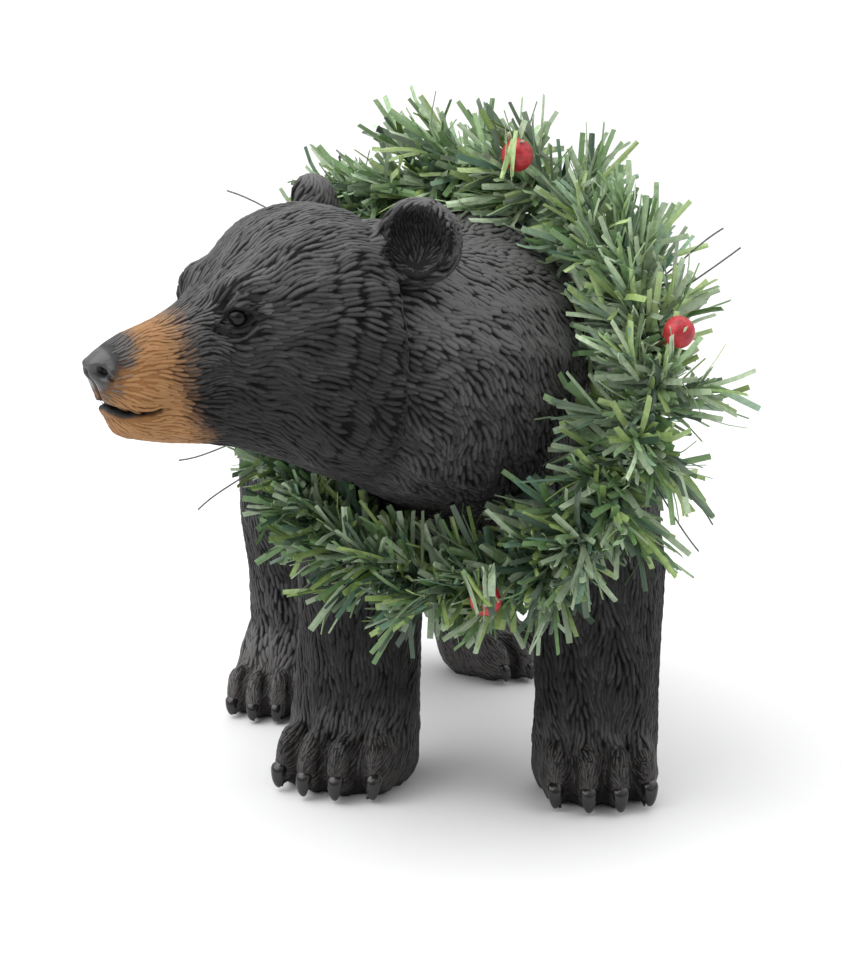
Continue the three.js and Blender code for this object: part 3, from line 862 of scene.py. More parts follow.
def painted_resin():
    recipe = Recipe("painted_resin")
    tone = recipe.add("ShaderNodeAttribute", attribute_name="tone")
    parts = recipe.add("ShaderNodeSeparateColor")
    recipe.join(tone.outputs["Color"], parts.inputs["Color"])
    muzzle, paw, crest_and_light = (parts.outputs[name] for name in ("Red", "Green", "Blue"))
    dull = tone.outputs["Alpha"]
    mottle = recipe.noise(260.0, 5.0, 0.65)
    # blue carries the dry brush together with painted light and painted shade
    brush_and_light_level = recipe.scaled(recipe.maths("MULTIPLY_ADD", mottle, 0.5, crest_and_light), 0.25, 1.35, 0.0, 1.0)
    black = recipe.ramp(brush_and_light_level, [(0.0, FUR_GROOVE), (0.4, FUR_BODY), (1.0, FUR_CREST)])
    tan = recipe.ramp(brush_and_light_level, [(0.0, TAN_GROOVE), (0.35, TAN_BODY), (1.0, TAN_CREST)])
    brown = recipe.ramp(brush_and_light_level, [(0.0, PAW_DARK), (1.0, PAW_BROWN)])
    brown_share = recipe.maths("MULTIPLY", paw, recipe.scaled(mottle, 0.4, 0.75, 0.0, 0.75))
    coat = recipe.mix(brown_share, black, brown)
    grain = recipe.scaled(mottle, 0.25, 0.8, 0.42, 0.62)
    on_crests = recipe.scaled(crest_and_light, 0.0, 0.6, 0.04, 0.15)
    on_nose = recipe.scaled(dull, 0.0, 1.0, 0.35, 0.0)
    recipe.surface(
        Base_Color=recipe.mix(muzzle, coat, tan),
        Roughness=recipe.maths("MULTIPLY", grain, recipe.scaled(dull, 0.0, 1.0, 0.6, 1.0)),
        Specular_IOR_Level=recipe.maths("ADD", on_crests, on_nose),
    )
    recipe.bump(recipe.noise(1500.0, 3.0), 0.35, 0.0002)
    return recipe.material


PAINTED_RESIN = painted_resin()


def finish_piece(piece, material, stands_for=None):
    piece.data.materials.clear()
    piece.data.materials.append(material)
    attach(piece, "root")
    if stands_for:
        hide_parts(stands_for)


finish_piece(skin, PAINTED_RESIN)
print("painted:", skin.name)

# %% [markdown]
# The fur is cut as thousands of short, overlapping strokes, each a low ridge between two grooves.
# A texture would look flat on the outline, so every stroke is a little ridge of real faces, laid
# on the skin. Combing comes first: about fifty given directions say which way the fur lies at
# known places. Everywhere else takes a blend of the nearest ones, turned into the surface there.

# %% Which way the fur lies
# (place, direction) in the head's frame, ahead, left, up; the left half stands for both
HEAD_COMB = [
    ((58, 0, 7), (-1, 0, 0.25)),
    ((50, 7, 8), (-1, 0.1, 0.2)),
    ((54, 11, -2), (-1, 0.15, -0.15)),
    ((54, 8, -14), (-1, 0.2, -0.3)),
    ((45, 12, 2), (-1, 0.2, 0.05)),
    ((42, 13, -10), (-1, 0.25, -0.3)),
    ((36, 0, 20), (-0.8, 0, 0.8)),
    ((32, 12, 21), (-0.9, 0.2, 0.7)),
    ((39, 14, 8), (-1, 0.3, -0.15)),
    ((30, 22, 14), (-1, 0.3, 0.1)),
    ((26, 12, 32), (-1, 0.1, 0.4)),
    ((15, 0, 36), (-1, 0, 0.05)),
    ((12, 26, 24), (-1, 0.2, 0.15)),
    ((20, 28, 0), (-1, 0.2, -0.3)),
    ((8, 32, 4), (-0.9, 0.1, -0.4)),
    ((14, 27, -16), (-0.8, 0.2, -0.6)),
    ((4, 28, -26), (-0.6, 0.1, -0.8)),
    ((25, 0, -22), (-1, 0, -0.2)),
    ((-2, 0, 36), (-1, 0, -0.2)),
    ((-6, 30, 40), (-0.2, 0.3, 1)),
    ((-6, 38, 30), (-0.2, 1, 0.2)),
    ((-4, 26, 20), (-0.6, 0.4, -0.2)),
]
# (place, direction) in the figure's own frame, x, y, z
BODY_COMB = [
    ((-14, -14, 150), (0.6, 0.8, -0.1)),
    ((-38, 6, 128), (0.4, 0.8, -0.4)),
    ((6, -48, 112), (0.6, 0.2, -0.8)),
    ((18, -36, 100), (0.4, 0.5, -0.8)),
    ((-12, -50, 96), (0.3, 0.1, -1)),
    ((0, -28, 72), (0.1, 0.1, -1)),
    ((0, 20, 148), (0, 1, 0)),
    ((0, 70, 140), (0, 1, -0.05)),
    ((0, 112, 126), (0, 0.8, -0.6)),
    ((46, 40, 110), (0, 0.8, -0.6)),
    ((46, 46, 80), (0, 0.6, -0.8)),
    ((-46, 40, 110), (0, 0.8, -0.6)),
    ((-46, 46, 80), (0, 0.6, -0.8)),
    ((42, 96, 96), (0, 0.6, -0.8)),
    ((-44, 96, 96), (0, 0.6, -0.8)),
    ((0, 60, 52), (0, 1, 0)),
    ((-6, 134, 90), (0, 0.1, -1)),
    ((-6, 140, 84), (0, 0.1, -1)),
    ((33, -12, 66), (0.1, 0.1, -1)),
    ((33, 20, 62), (0, 0.5, -1)),
    ((33, -18, 40), (0.05, 0, -1)),
    ((33, 14, 36), (0, 0.2, -1)),
    ((-28, -2, 62), (0, 0, -1)),
    ((-28, 30, 58), (0, 0.4, -1)),
    ((-28, -2, 38), (0, 0, -1)),
    ((-28, 30, 36), (0, 0.2, -1)),
    ((-35, 76, 46), (0, 0, -1)),
    ((-35, 106, 40), (0, 0.2, -1)),
    ((22, 92, 46), (0, 0, -1)),
    ((22, 124, 40), (0, 0.2, -1)),
]
# rows on a paw: place and direction, each as shares across it and ahead, and in mm or a share up
PAW_COMB = [
    ((0.8, 0.7, 9), (0.25, 1.0, -0.5)),
    ((1.0, 0.0, 9), (0.0, 0.5, -0.8)),
    ((0.7, 0.5, 18), (0.2, 0.8, -0.8)),
]
HEEL_COMB = (-0.7, 8)
FORE_SHARE = 0.8 # share of a paw's reach that is combed
COMB_SOFT = 4 * MM
EAR_REACH = 14 * MM
WAVE_LENGTH = 13 * MM
WAVE_TURN = 0.15
# direction of each wave over the coat, and where it starts
WAVES = [([1.0, 0.4, 0.3], 0.5), ([-0.5, 0.7, 1.1], 2.1), ([0.8, -1.3, 0.5], 4.0)]


def unit(vectors):
    return vectors / np.maximum(np.linalg.norm(vectors, axis=1), 1e-12)[:, None]


def all_combed():
    places, ways = [], []
    for side in (-1, 1):
        for (ahead, left, up), (fore, out, rise) in HEAD_COMB:
            places.append(on_head(ahead, side * left, up))
            ways.append(direction(fore, side * out, rise))
    for where, way in BODY_COMB:
        places.append(place(*where))
        ways.append(np.array(way, dtype=float))
    for paw in PAWS:
        middle, across, ahead = paw_frame(paw)
        fore = paw[3]["reach"] * FORE_SHARE
        for share in (-1, 0, 1):
            for (aside, along, up), (out, on, rise) in PAW_COMB:
                spot = middle + across * aside * paw[2] * share + ahead * fore * along
                places.append(place(*(spot + UP * up)))
                ways.append(ahead * on + across * out * share + UP * rise)
        along, up = HEEL_COMB
        places.append(place(*(middle + ahead * fore * along + UP * up)))
        ways.append(-UP)
    return np.array(places), unit(np.array(ways))


COMB_PLACES, COMB_WAYS = all_combed()


def sway(points):
    """A slow wave over the coat, so that neighbouring strokes bend together into locks."""
    p = (points - SHOULDERS) * (2 * pi / WAVE_LENGTH)
    return WAVE_TURN * sum(np.sin(p @ way + start) for way, start in WAVES)


def fur_way(points, normals):
    """The way that the fur lies at points on the skin."""
    gap = ((points[:, None, :] - COMB_PLACES[None]) ** 2).sum(axis=2)
    way = (1 / (gap + COMB_SOFT ** 2) ** 2) @ COMB_WAYS
    for middle, facing in EARS:
        within = (ear_share(points) * (np.linalg.norm(points - middle, axis=1) < EAR_REACH))[:, None]
        way = way * (1 - within) + within * np.linalg.norm(way, axis=1)[:, None] * (facing + UP)
    way = unit(way - (way * normals).sum(axis=1)[:, None] * normals)
    turn = sway(points)[:, None]
    return way * np.cos(turn) + np.cross(normals, way) * np.sin(turn)


print("combed at", len(COMB_PLACES), "places")

# %% [markdown]
# Then the strokes are sown. Points are thrown at the skin one after another, and a point is kept
# only if no kept one stands too near, with more room wanted along the fur than across it: that
# gives an even coat without rows. Strokes are finest on the muzzle and the paws, and coarse on
# the trunk.

# %% Sow the strokes
# across and along: room between strokes; long, wide, high: a stroke's size; all in mm. paint: how much
# of the brush it takes, where that isn't all
STROKES = {
    "muzzle": {"across": 0.66, "along": 1.9, "long": 4.9, "wide": 0.92, "high": 0.17},
    "head": {"across": 0.9, "along": 2.5, "long": 7.0, "wide": 1.5, "high": 0.48},
    "rows": {"across": 0.8, "along": 3.0, "long": 7.4, "wide": 1.6, "high": 0.46},
    "ears": {"across": 0.55, "along": 1.7, "long": 3.0, "wide": 0.7, "high": 0.2, "paint": 0.5},
    "neck": {"across": 1.0, "along": 2.7, "long": 6.2, "wide": 1.75, "high": 0.5},
    "trunk": {"across": 1.5, "along": 3.8, "long": 9.0, "wide": 2.45, "high": 0.68},
    "fore_legs": {"across": 0.9, "along": 2.5, "long": 6.6, "wide": 1.48, "high": 0.42},
    "hind_legs": {"across": 1.05, "along": 2.8, "long": 6.4, "wide": 1.7, "high": 0.5},
    "paws": {"across": 0.62, "along": 2.1, "long": 4.6, "wide": 0.8, "high": 0.1},
}
REGIONS = list(STROKES)
BARE = -1
BARE_ROUND_EYE = 3.3 * MM
BARE_SOLE = 3.5
ROWS_FROM = 0.3 # how clearly the rows must show for fur to hang in them
ROW_FRONT = 0.72 # share of a row from which its strokes start


def regions_of(points):
    """The number of the region in REGIONS that each point belongs to, or BARE where no fur is cut."""
    number = {name: count for count, name in enumerate(REGIONS)}
    ahead, left, up = head_places(points).T
    _, y, z = ((points - SHOULDERS) / MM).T
    region = np.full(len(points), number["trunk"])
    region[(y < 14) & (z > 72)] = number["neck"]
    region[(z < 72) & (y < 50)] = number["fore_legs"]
    region[(z < 66) & (y >= 50)] = number["hind_legs"]
    region[z < 16] = number["paws"]
    skull = np.linalg.norm(np.stack([ahead * 0.9, left, up], axis=1), axis=1) < 52
    on_skull = (ahead > 1) | ((up > 20) & (ahead > -16))
    region[skull & on_skull & (z > 80)] = number["head"]
    row, clear = cheek_rows(points)
    rows = (region == number["head"]) & (clear > ROWS_FROM)
    region[rows] = np.where(row[rows] > ROW_FRONT, number["rows"], BARE)
    region[(ahead > 38) & (z > 80)] = number["muzzle"]
    region[ear_share(points) > 0.5] = number["ears"]
    nose = nose_share(points) > 0.5
    round_eyes = near(points, EYE_MIDDLES, BARE_ROUND_EYE)
    lips = nearest_of(points, lip_lines) < (0.7 + 1.1 * ramp(ahead, 53, 58)) * MM
    region[nose | round_eyes | lips | (z < BARE_SOLE)] = BARE
    return region


def thrown(mesh, count, random):
    """Points spread evenly over a mesh, with the face that each lies on."""
    mesh.calc_loop_triangles()
    corners = numbers_of(mesh.loop_triangles, "vertices", 3, np.int64)
    faces = numbers_of(mesh.loop_triangles, "polygon_index", 1, np.int64)[:, 0]
    a, b, c = points_of(mesh)[corners.T]
    area = np.linalg.norm(np.cross(b - a, c - a), axis=1)
    chosen = random.choice(len(area), count, p=area / area.sum())
    u, v = random.random((2, count))
    over = u + v > 1
    u[over], v[over] = 1 - u[over], 1 - v[over]
    a, b, c = a[chosen], b[chosen], c[chosen]
    return a + u[:, None] * (b - a) + v[:, None] * (c - a), face_normals[faces[chosen]]


def sown(points, normals, chosen, across, along):
    """Keeps the chosen points that stand far enough from those kept before them."""
    order = np.nonzero(chosen)[0]
    rows = np.column_stack([points, fur_way(points, normals)])[order].tolist()
    cells = np.floor(points[order] / (along * MM)).astype(int).tolist()
    across2, along2 = (across * MM) ** 2, (along * MM) ** 2
    steps = [(a, b, c) for a in (-1, 0, 1) for b in (-1, 0, 1) for c in (-1, 0, 1)]
    kept, grid = [], {}
    for i, (px, py, pz, wx, wy, wz), (x, y, z) in zip(order.tolist(), rows, cells):
        clash = False
        for a, b, c in steps:
            for qx, qy, qz in grid.get((x + a, y + b, z + c), ()):
                dx, dy, dz = px - qx, py - qy, pz - qz
                forward = dx * wx + dy * wy + dz * wz
                aside = dx * dx + dy * dy + dz * dz - forward * forward
                if aside / across2 + forward * forward / along2 < 1:
                    clash = True
                    break
            if clash:
                break
        if not clash:
            grid.setdefault((x, y, z), []).append((px, py, pz))
            kept.append(i)
    return np.array(kept)


THROWS = 900000
random = np.random.default_rng(4909)
thrown_points, thrown_normals = thrown(skin_mesh, THROWS, random)
thrown_regions = regions_of(thrown_points)
sowing = {}
for number, (name, stroke) in enumerate(STROKES.items()):
    here = thrown_regions == number
    kept = sown(thrown_points, thrown_normals, here, stroke["across"], stroke["along"])
    sowing[name] = thrown_points[kept]
    print(name, len(kept), "strokes")

# %% [markdown]
# Each kept point becomes a stroke. Its path follows the comb over the skin in four short steps,
# each one set back on the surface, so strokes bend with the forms. A stroke is narrow where it
# starts and ends, widest in the middle, and its crest stands up between two edges that are sunk
# in the skin.

# %% Cut the strokes
STEPS = 4
SECTION_WIDTH = [0.9, 1.0, 0.86]
SECTION_HEIGHT = [0.72, 1.0, 0.74]
SINK = 0.14 # share of a stroke's height that its edges are sunk
END_PAINT = 0.1
# half width, height and paint of a section's points, from its left edge over the crest to its right
SECTION = [
    (1.0, -SINK, 0.0), (0.72, 0.62, 0.6), (0.0, 1.0, 1.0), (-0.72, 0.62, 0.6), (-1.0, -SINK, 0.0),
]
PER_SECTION = len(SECTION)
POINTS_A_STROKE = 2 + PER_SECTION * (STEPS - 1)
STROKE_FACES = []
for k in range(PER_SECTION - 1):
    STROKE_FACES.append((0, k + 2, k + 1))
    for step in range(STEPS - 2):
        first = 1 + PER_SECTION * step + k
        STROKE_FACES.append((first, first + 1, first + 1 + PER_SECTION))
        STROKE_FACES.append((first, first + 1 + PER_SECTION, first + PER_SECTION))
    last = POINTS_A_STROKE - 1 - PER_SECTION + k
    STROKE_FACES.append((last, last + 1, POINTS_A_STROKE - 1))


def on_skin(points):
    places, normals = np.empty_like(points), np.empty_like(points)
    for i, point in enumerate(points):
        spot, _, face, _ = skin_tree.find_nearest(point)
        places[i] = spot
        normals[i] = face_normals[face]
    return places, normals


def stroke_paths(starts, lengths):
    """Points, normals and ways of the fur at each step of every stroke."""
    path = []
    points = starts
    for _ in range(STEPS + 1):
        points, normals = on_skin(points)
        ways = fur_way(points, normals)
        path.append((points, normals, ways))
        points = points + ways * (lengths / STEPS)[:, None]
    return path


def repeated(faces, points_each, count):
    """The same few faces for each of many copies of a shape, numbered on from copy to copy."""
    first = points_each * np.arange(count)[:, None, None]
    return (np.array(faces)[None] + first).reshape(-1, len(faces[0])).tolist()


def strokes_of(kind):
    """The points of every stroke of a kind, stroke by stroke, and their tones."""
    stroke, starts = STROKES[kind], sowing[kind]
    vary = random.uniform(0.8, 1.2, (3, len(starts)))
    path = stroke_paths(starts, stroke["long"] * MM * vary[0])
    # each stroke's brush share, with painted light and shade
    stroke_brush_and_light = brush_and_light_share(*path[1][:2]) * stroke.get("paint", 1.0)
    sections, crests = [], []
    for step, (points, normals, ways) in enumerate(path):
        if step in (0, STEPS):
            sections.append(points - normals * SINK * stroke["high"] * MM)
            crests.append(END_PAINT)
            continue
        wide = stroke["wide"] * SECTION_WIDTH[step - 1] * MM * vary[1]
        tall = stroke["high"] * SECTION_HEIGHT[step - 1] * MM * vary[2]
        half = np.cross(normals, ways) * (0.5 * wide)[:, None]
        high = normals * tall[:, None]
        for out, up, paint in SECTION:
            sections.append(points + half * out + high * up)
            crests.append(paint * (0.75 + 0.25 * step / 3))
    shade = np.repeat(tones(starts, np.zeros(len(starts)))[:, None, :], len(crests), axis=1)
    shade[:, :, 2] = np.array(crests)[None] * (vary[2] * stroke_brush_and_light)[:, None]
    return np.stack(sections, axis=1).reshape(-1, 3), shade.reshape(-1, 4)


def cut_strokes(name, kinds):
    cut = [strokes_of(kind) for kind in kinds]
    points, shades = (np.concatenate(part) for part in zip(*cut))
    faces = repeated(STROKE_FACES, POINTS_A_STROKE, len(points) // POINTS_A_STROKE)
    mesh = bpy.data.meshes.new(name)
    mesh.from_pydata(points.tolist(), [], faces)
    mesh.polygons.foreach_set("use_smooth", np.ones(len(mesh.polygons), bool))
    write_colours(mesh, "tone", shades)
    print(name, len(faces), "triangles")
    finish_piece(link(name, mesh), PAINTED_RESIN)


cut_strokes("fur_head", ["head", "rows", "ears", "muzzle"])
cut_strokes("fur_body", ["neck", "trunk"])
cut_strokes("fur_fore_legs", ["fore_legs"])
cut_strokes("fur_hind_legs_and_paws", ["hind_legs", "paws"])

# %% [markdown]
# The eyes are glossy beads set in their sockets, and the claws are short, curved and shiny. These
# are smooth, so they are separate pieces with their own lacquer. They catch the small bright
# glints that make the face look alive.

# %% Lacquer
# dark and light colour, roughness, size of the grain (more is finer), its depth in metres, and shine
LACQUERS = {
    "eye_lacquer": ((0.002, 0.002, 0.002), (0.006, 0.005, 0.005), 0.12, 300.0, 0.00002, 0.2),
    "claw_horn": ((0.006, 0.005, 0.005), (0.02, 0.018, 0.017), 0.2, 500.0, 0.00005, 0.55),
    "stray_grey": ((0.04, 0.05, 0.04), (0.12, 0.13, 0.11), 0.4, 400.0, 0.0001, 0.5),
    "wire_green": ((0.01, 0.03, 0.012), (0.03, 0.07, 0.03), 0.45, 400.0, 0.0001, 0.5),
    "stem_brown": ((0.14, 0.055, 0.025), (0.36, 0.17, 0.09), 0.55, 500.0, 0.0002, 0.5),
}


def lacquer(name):
    dark, light, roughness, grain, depth, shine = LACQUERS[name]
    recipe = Recipe(name)
    mottle = recipe.noise(grain, 3.0)
    recipe.surface(
        Base_Color=recipe.ramp(mottle, [(0.3, dark), (0.75, light)]),
        Roughness=recipe.scaled(mottle, 0.2, 0.8, roughness * 0.8, roughness * 1.25),
    )
    recipe.shader.inputs["Specular IOR Level"].default_value = shine
    recipe.bump(recipe.noise(grain * 4, 2.0), 0.25, depth)
    return recipe.material


def smooth_piece(name, net, material, stands_for=None):
    """Turns a net of faces into a smooth piece with its material."""
    bmesh.ops.recalc_face_normals(net, faces=net.faces)
    mesh = bpy.data.meshes.new(name)
    net.to_mesh(mesh)
    net.free()
    for polygon in mesh.polygons:
        polygon.use_smooth = True
    finish_piece(link(name, mesh), material, stands_for)


# %% Eyes
EYE_LOOK = (0.35, 0.1) # how far the bulge of an eye looks ahead and up, for 1 outward
EYE_BULGE = 0.06

eye_net = bmesh.new()
for side, middle in zip((-1, 1), EYE_MIDDLES):
    outward = direction(EYE_LOOK[0], side * 1.0, EYE_LOOK[1])
    outward /= np.linalg.norm(outward)
    for vert in bmesh.ops.create_uvsphere(eye_net, u_segments=32, v_segments=20, radius=1.0)["verts"]:
        way = np.array(vert.co)
        bulge = 1 + EYE_BULGE * ramp(way @ outward, 0.6, 1.0)
        vert.co = Vector(middle + way * EYE_SIZE * bulge)
smooth_piece("eyes", eye_net, lacquer("eye_lacquer"))
print("eyes:", round(EYE_SIZE * 2 / MM, 1), "mm across")

# %% Claws
CLAW_ROOT = 0.6 # how high over the toe's middle it starts
CLAW_TIP = 0.9 # how high its tip ends over the floor
CLAW_SUNK = 2.4
CLAW_REACH = 1.5
CLAW_THICK = 2.5
CLAW_FLAT = 0.85 # share of its width that it is deep
CLAW_SECTIONS = 14
CLAW_SIDES = 14


def ring(net, middle, aside, other, sides):
    """A ring of points in mm, spanned by two directions."""
    turns = (2 * pi * k / sides for k in range(sides))
    return [net.verts.new(Vector(place(*(middle + aside * cos(a) + other * sin(a))))) for a in turns]


def skin_rings(net, rings):
    """Joins rings of points by faces, and closes both ends."""
    for near_ring, far_ring in zip(rings[:-1], rings[1:]):
        for k, point in enumerate(near_ring):
            n = (k + 1) % len(near_ring)
            net.faces.new((point, near_ring[n], far_ring[n], far_ring[k]))
    net.faces.new(rings[0][::-1])
    net.faces.new(rings[-1])


def claw(net, knuckle, way, toe):
    """A short horn that grows out of the toe's front, sunk in it, and curves down to the ground."""
    rings = []
    aside = np.cross(way, UP)
    size = toe["wide"] / FORE_TOE["wide"]
    root = toe["middle"] + CLAW_ROOT
    for i in range(CLAW_SECTIONS):
        turn = 0.5 * pi * i / (CLAW_SECTIONS - 1)
        t = sin(turn)
        height = root + (CLAW_TIP - root) * t
        taper = 0.03 + 0.97 * max(cos(turn), 0.0) ** 0.8
        radius = CLAW_THICK * size * taper * (1 - 0.3 * t)
        radius *= 0.4 + 0.6 * min(5 * t, 1) ** 0.5
        front = toe["long"] + TOE_BULGE - CLAW_SUNK + CLAW_REACH * sin(0.7 * pi * t)
        middle = knuckle + way * front
        middle[2] = height
        rings.append(ring(net, middle, aside * radius, way * radius * CLAW_FLAT, CLAW_SIDES))
    skin_rings(net, rings)


claw_net = bmesh.new()
for paw in PAWS:
    for knuckle, way in toe_places(paw):
        claw(claw_net, knuckle, way, paw[3])
smooth_piece("claws", claw_net, lacquer("claw_horn"))
print("claws:", len(PAWS) * TOES)

# %% [markdown]
# The wreath is a ring of plastic fir. Flat strips of green foil are twisted between two wires, so
# they stand out from it in sprays. Every needle here is a real strip with a slight crease, a
# little bent. Several greens are mixed, as in the real garland. Where a needle would pass through
# the bear it is pressed aside and lies on the fur.

# %% The ring's wire
WREATH_RADIUS = 52.0
WREATH_HALF_WIDTH = 52.5
WREATH_CENTRE = np.array([-9.0, -14.0, 110.6])
WREATH_TURN = radians(30)
WREATH_LEAN = radians(20)
FACING = np.array([
    -sin(WREATH_TURN) * cos(WREATH_LEAN), -cos(WREATH_TURN) * cos(WREATH_LEAN), sin(WREATH_LEAN),
])
RIGHT = np.array([cos(WREATH_TURN), -sin(WREATH_TURN), 0.0])
RISE = -np.cross(RIGHT, FACING)


def spoke(angle):
    """The way from the ring's middle outward, at an angle on the ring."""
    return RIGHT * cos(angle) + RISE * sin(angle)


def wire(angle):
    """A place in mm on the middle line of the wire."""
    across, up = WREATH_HALF_WIDTH * cos(angle), WREATH_RADIUS * sin(angle)
    return WREATH_CENTRE + RIGHT * across + RISE * up


def around_wire(angle, around):
    """A way that stands out from the wire."""
    return spoke(angle) * cos(around) + FACING * sin(around)


# degrees round the ring, and there: how far the sprays lean along it, how long they are, and how far
# their feet are drawn in, in mm
SPRAY_PLACES = [0, 30, 90, 150, 185, 205, 230, 250, 275, 300, 320, 345, 360]
SPRAY_SWEEP = [0.4, 0.9, 0.8, 0.7, 0.2, -0.4, -0.8, -0.9, -0.8, -0.6, -0.6, -0.3, 0.4]
SPRAY_LONG = [1.0, 1.0, 1.05, 0.55, 0.45, 0.5, 0.62, 0.8, 0.8, 0.82, 0.95, 1.0, 1.0]
FEET_DRAWN_IN = [2.5, 2.5, 0, 3, 6, 7, 5, 2, 0, 0, 1, 2.5, 2.5]


def round_ring(values, angle):
    return float(np.interp(degrees(angle) % 360, SPRAY_PLACES, values))


def foot(angle):
    """Where the needles grow: the wire, drawn in a little."""
    return wire(angle) - spoke(angle) * round_ring(FEET_DRAWN_IN, angle)


print("ring from", np.round(wire(pi), 1), "to", np.round(wire(0), 1))

# %% Needles
# share of the needles, and their colour; paler needles stand for frosted foil and for painted light
GREENS = [
    (0.27, (0.12, 0.225, 0.08)),
    (0.17, (0.24, 0.345, 0.095)),
    (0.29, (0.29, 0.375, 0.245)),
    (0.11, (0.08, 0.17, 0.115)),
    (0.16, (0.022, 0.05, 0.03)),
]
# how pale and bright the needles are at SPRAY_PLACES: partly frost, partly painted light, most at the top
# and right
PALE_AND_LIT_SHARE = [1.4, 2.0, 1.5, 1.1, 0.6, 0.3, 0.25, 0.25, 0.3, 0.3, 0.35, 0.7, 1.4]
PALE_GREEN = np.array([0.6, 0.7, 0.5])
FROST_AND_LIGHT = 0.42
NEEDLE_WIDE = 1.5
NEEDLE_BEND = 0.13
NEEDLE_TAPER = np.array([0.7, 1.0, 1.0, 0.92]) # its width at each step
CREASE = 0.22
NEEDLE_STEPS = len(NEEDLE_TAPER)
NEEDLE_POINTS = 3 * NEEDLE_STEPS
SPRAY_ROWS = 24
SPRAY_TURNS = 6
SPRAY_NEEDLES = 22
SPRAY_STEM = 11
SPRAY_SCATTER = 0.36
SPRAY_LENGTHS = (10, 16.5)
LINING_NEEDLES = 3000
LINING_SCATTER = 0.25
LINING_LENGTHS = (8, 14)
# (angle on the ring, angle round the wire, distance of the berry's middle from the wire)
BERRIES = [
    (75, 74, 14), (12.3, 57, 14), (287.6, 61.5, 12),
    (50, 270, 12.5), (105, 280, 12.5), (310, 265, 12.5),
]
BERRY_RADIUS = 4.0
# number of a berry that needles lie across, and how many
COVERED = [(2, 20), (0, 4)]
COVER_LENGTHS = (8, 11.5)


def needle_rows(base, way, flat, length, bend):
    """The middle line, and the strip's side direction and face direction at each step, in mm."""
    middles, sides, faces = [], [], []
    side = np.cross(flat, way)
    point = base.copy()
    step = length / (NEEDLE_STEPS - 1)
    for _ in range(NEEDLE_STEPS):
        middles.append(point)
        sides.append(side)
        faces.append(flat)
        turned = way + flat * bend
        way = turned / np.linalg.norm(turned, axis=1)[:, None]
        flat = np.cross(way, side)
        point = point + way * step
    return middles, sides, faces


def sprays(rng):
    """Base, way and length of every needle, spray by spray, in mm."""
    bases, ways, lengths = [], [], []
    for row in range(SPRAY_ROWS):
        for k in range(SPRAY_TURNS):
            angle = 2 * pi * (row + k / SPRAY_TURNS + rng.uniform(-0.3, 0.3)) / SPRAY_ROWS
            around = 2 * pi * (k + 0.5 * (row % 2) + rng.uniform(-0.25, 0.25)) / SPRAY_TURNS
            out = around_wire(angle, around)
            along = spoke(angle + pi / 2)
            long, lean = round_ring(SPRAY_LONG, angle), round_ring(SPRAY_SWEEP, angle)
            axis = out + along * lean * rng.uniform(0.6, 1.4)
            axis /= np.linalg.norm(axis)
            up_stem = rng.uniform(0, SPRAY_STEM * long, (SPRAY_NEEDLES, 1))
            scatter = rng.normal(size=(SPRAY_NEEDLES, 3)) * SPRAY_SCATTER
            stem = foot(angle) + out * 2.0 + axis * up_stem
            bases.append(stem + rng.normal(size=(SPRAY_NEEDLES, 3)))
            ways.append(unit(axis + scatter))
            lengths.append(rng.uniform(*SPRAY_LENGTHS, SPRAY_NEEDLES) * (0.4 + 0.6 * long))
    return bases, ways, lengths


def lining(rng):
    """Short needles all round the wire that close the ring; every third lies across the wire."""
    bases, ways = [], []
    for i in range(LINING_NEEDLES):
        angle = 2 * pi * (i + rng.random()) / LINING_NEEDLES
        around = rng.uniform(0, 2 * pi)
        out = around_wire(angle, around)
        sweep = round_ring(SPRAY_SWEEP, angle) * rng.uniform(-0.3, 1.3)
        way = out + spoke(angle + pi / 2) * sweep + rng.normal(size=3) * LINING_SCATTER
        start = out * 1.2
        if i % 3 == 0:
            way = around_wire(angle, around + pi / 2) + rng.normal(size=3) * LINING_SCATTER
            start = out * 2.5 - way * 5.0
        bases.append(foot(angle) + start)
        ways.append(way)
    lengths = rng.uniform(*LINING_LENGTHS, LINING_NEEDLES)
    return [np.array(bases)], [unit(np.array(ways))], [lengths]


def berry_middle(angle, around, out):
    return wire(radians(angle)) + around_wire(radians(angle), radians(around)) * out


def cover(rng):
    """Needles that lie in front of a berry and hide some of it, or nearly all."""
    bases, ways, lengths = [], [], []
    for number, count in COVERED:
        angle = radians(BERRIES[number][0])
        down, along = spoke(angle), spoke(angle + pi / 2)
        front = berry_middle(*BERRIES[number]) + FACING * (BERRY_RADIUS + 0.9)
        spot = rng.uniform(-1, 1, (count, 2))
        base = front - down * (6.5 + spot[:, :1]) + along * (1.5 + spot[:, 1:] * 5.0)
        bases.append(base + FACING * rng.uniform(0, 1.2, (count, 1)))
        aside = along * (-0.1 - 0.4 * spot[:, 1:])
        ways.append(unit(down + aside + rng.normal(size=(count, 3)) * 0.08))
        lengths.append(rng.uniform(*COVER_LENGTHS, count))
    return bases, ways, lengths


# %% Needles that keep clear of the bear
NEEDLE_ROOM = 1.0
# a needle is left out if any of its points lay TOO_DEEP in the bear, or MOST of them were DEEP in it
TOO_DEEP = 9
DEEP = 3
MOST = 3


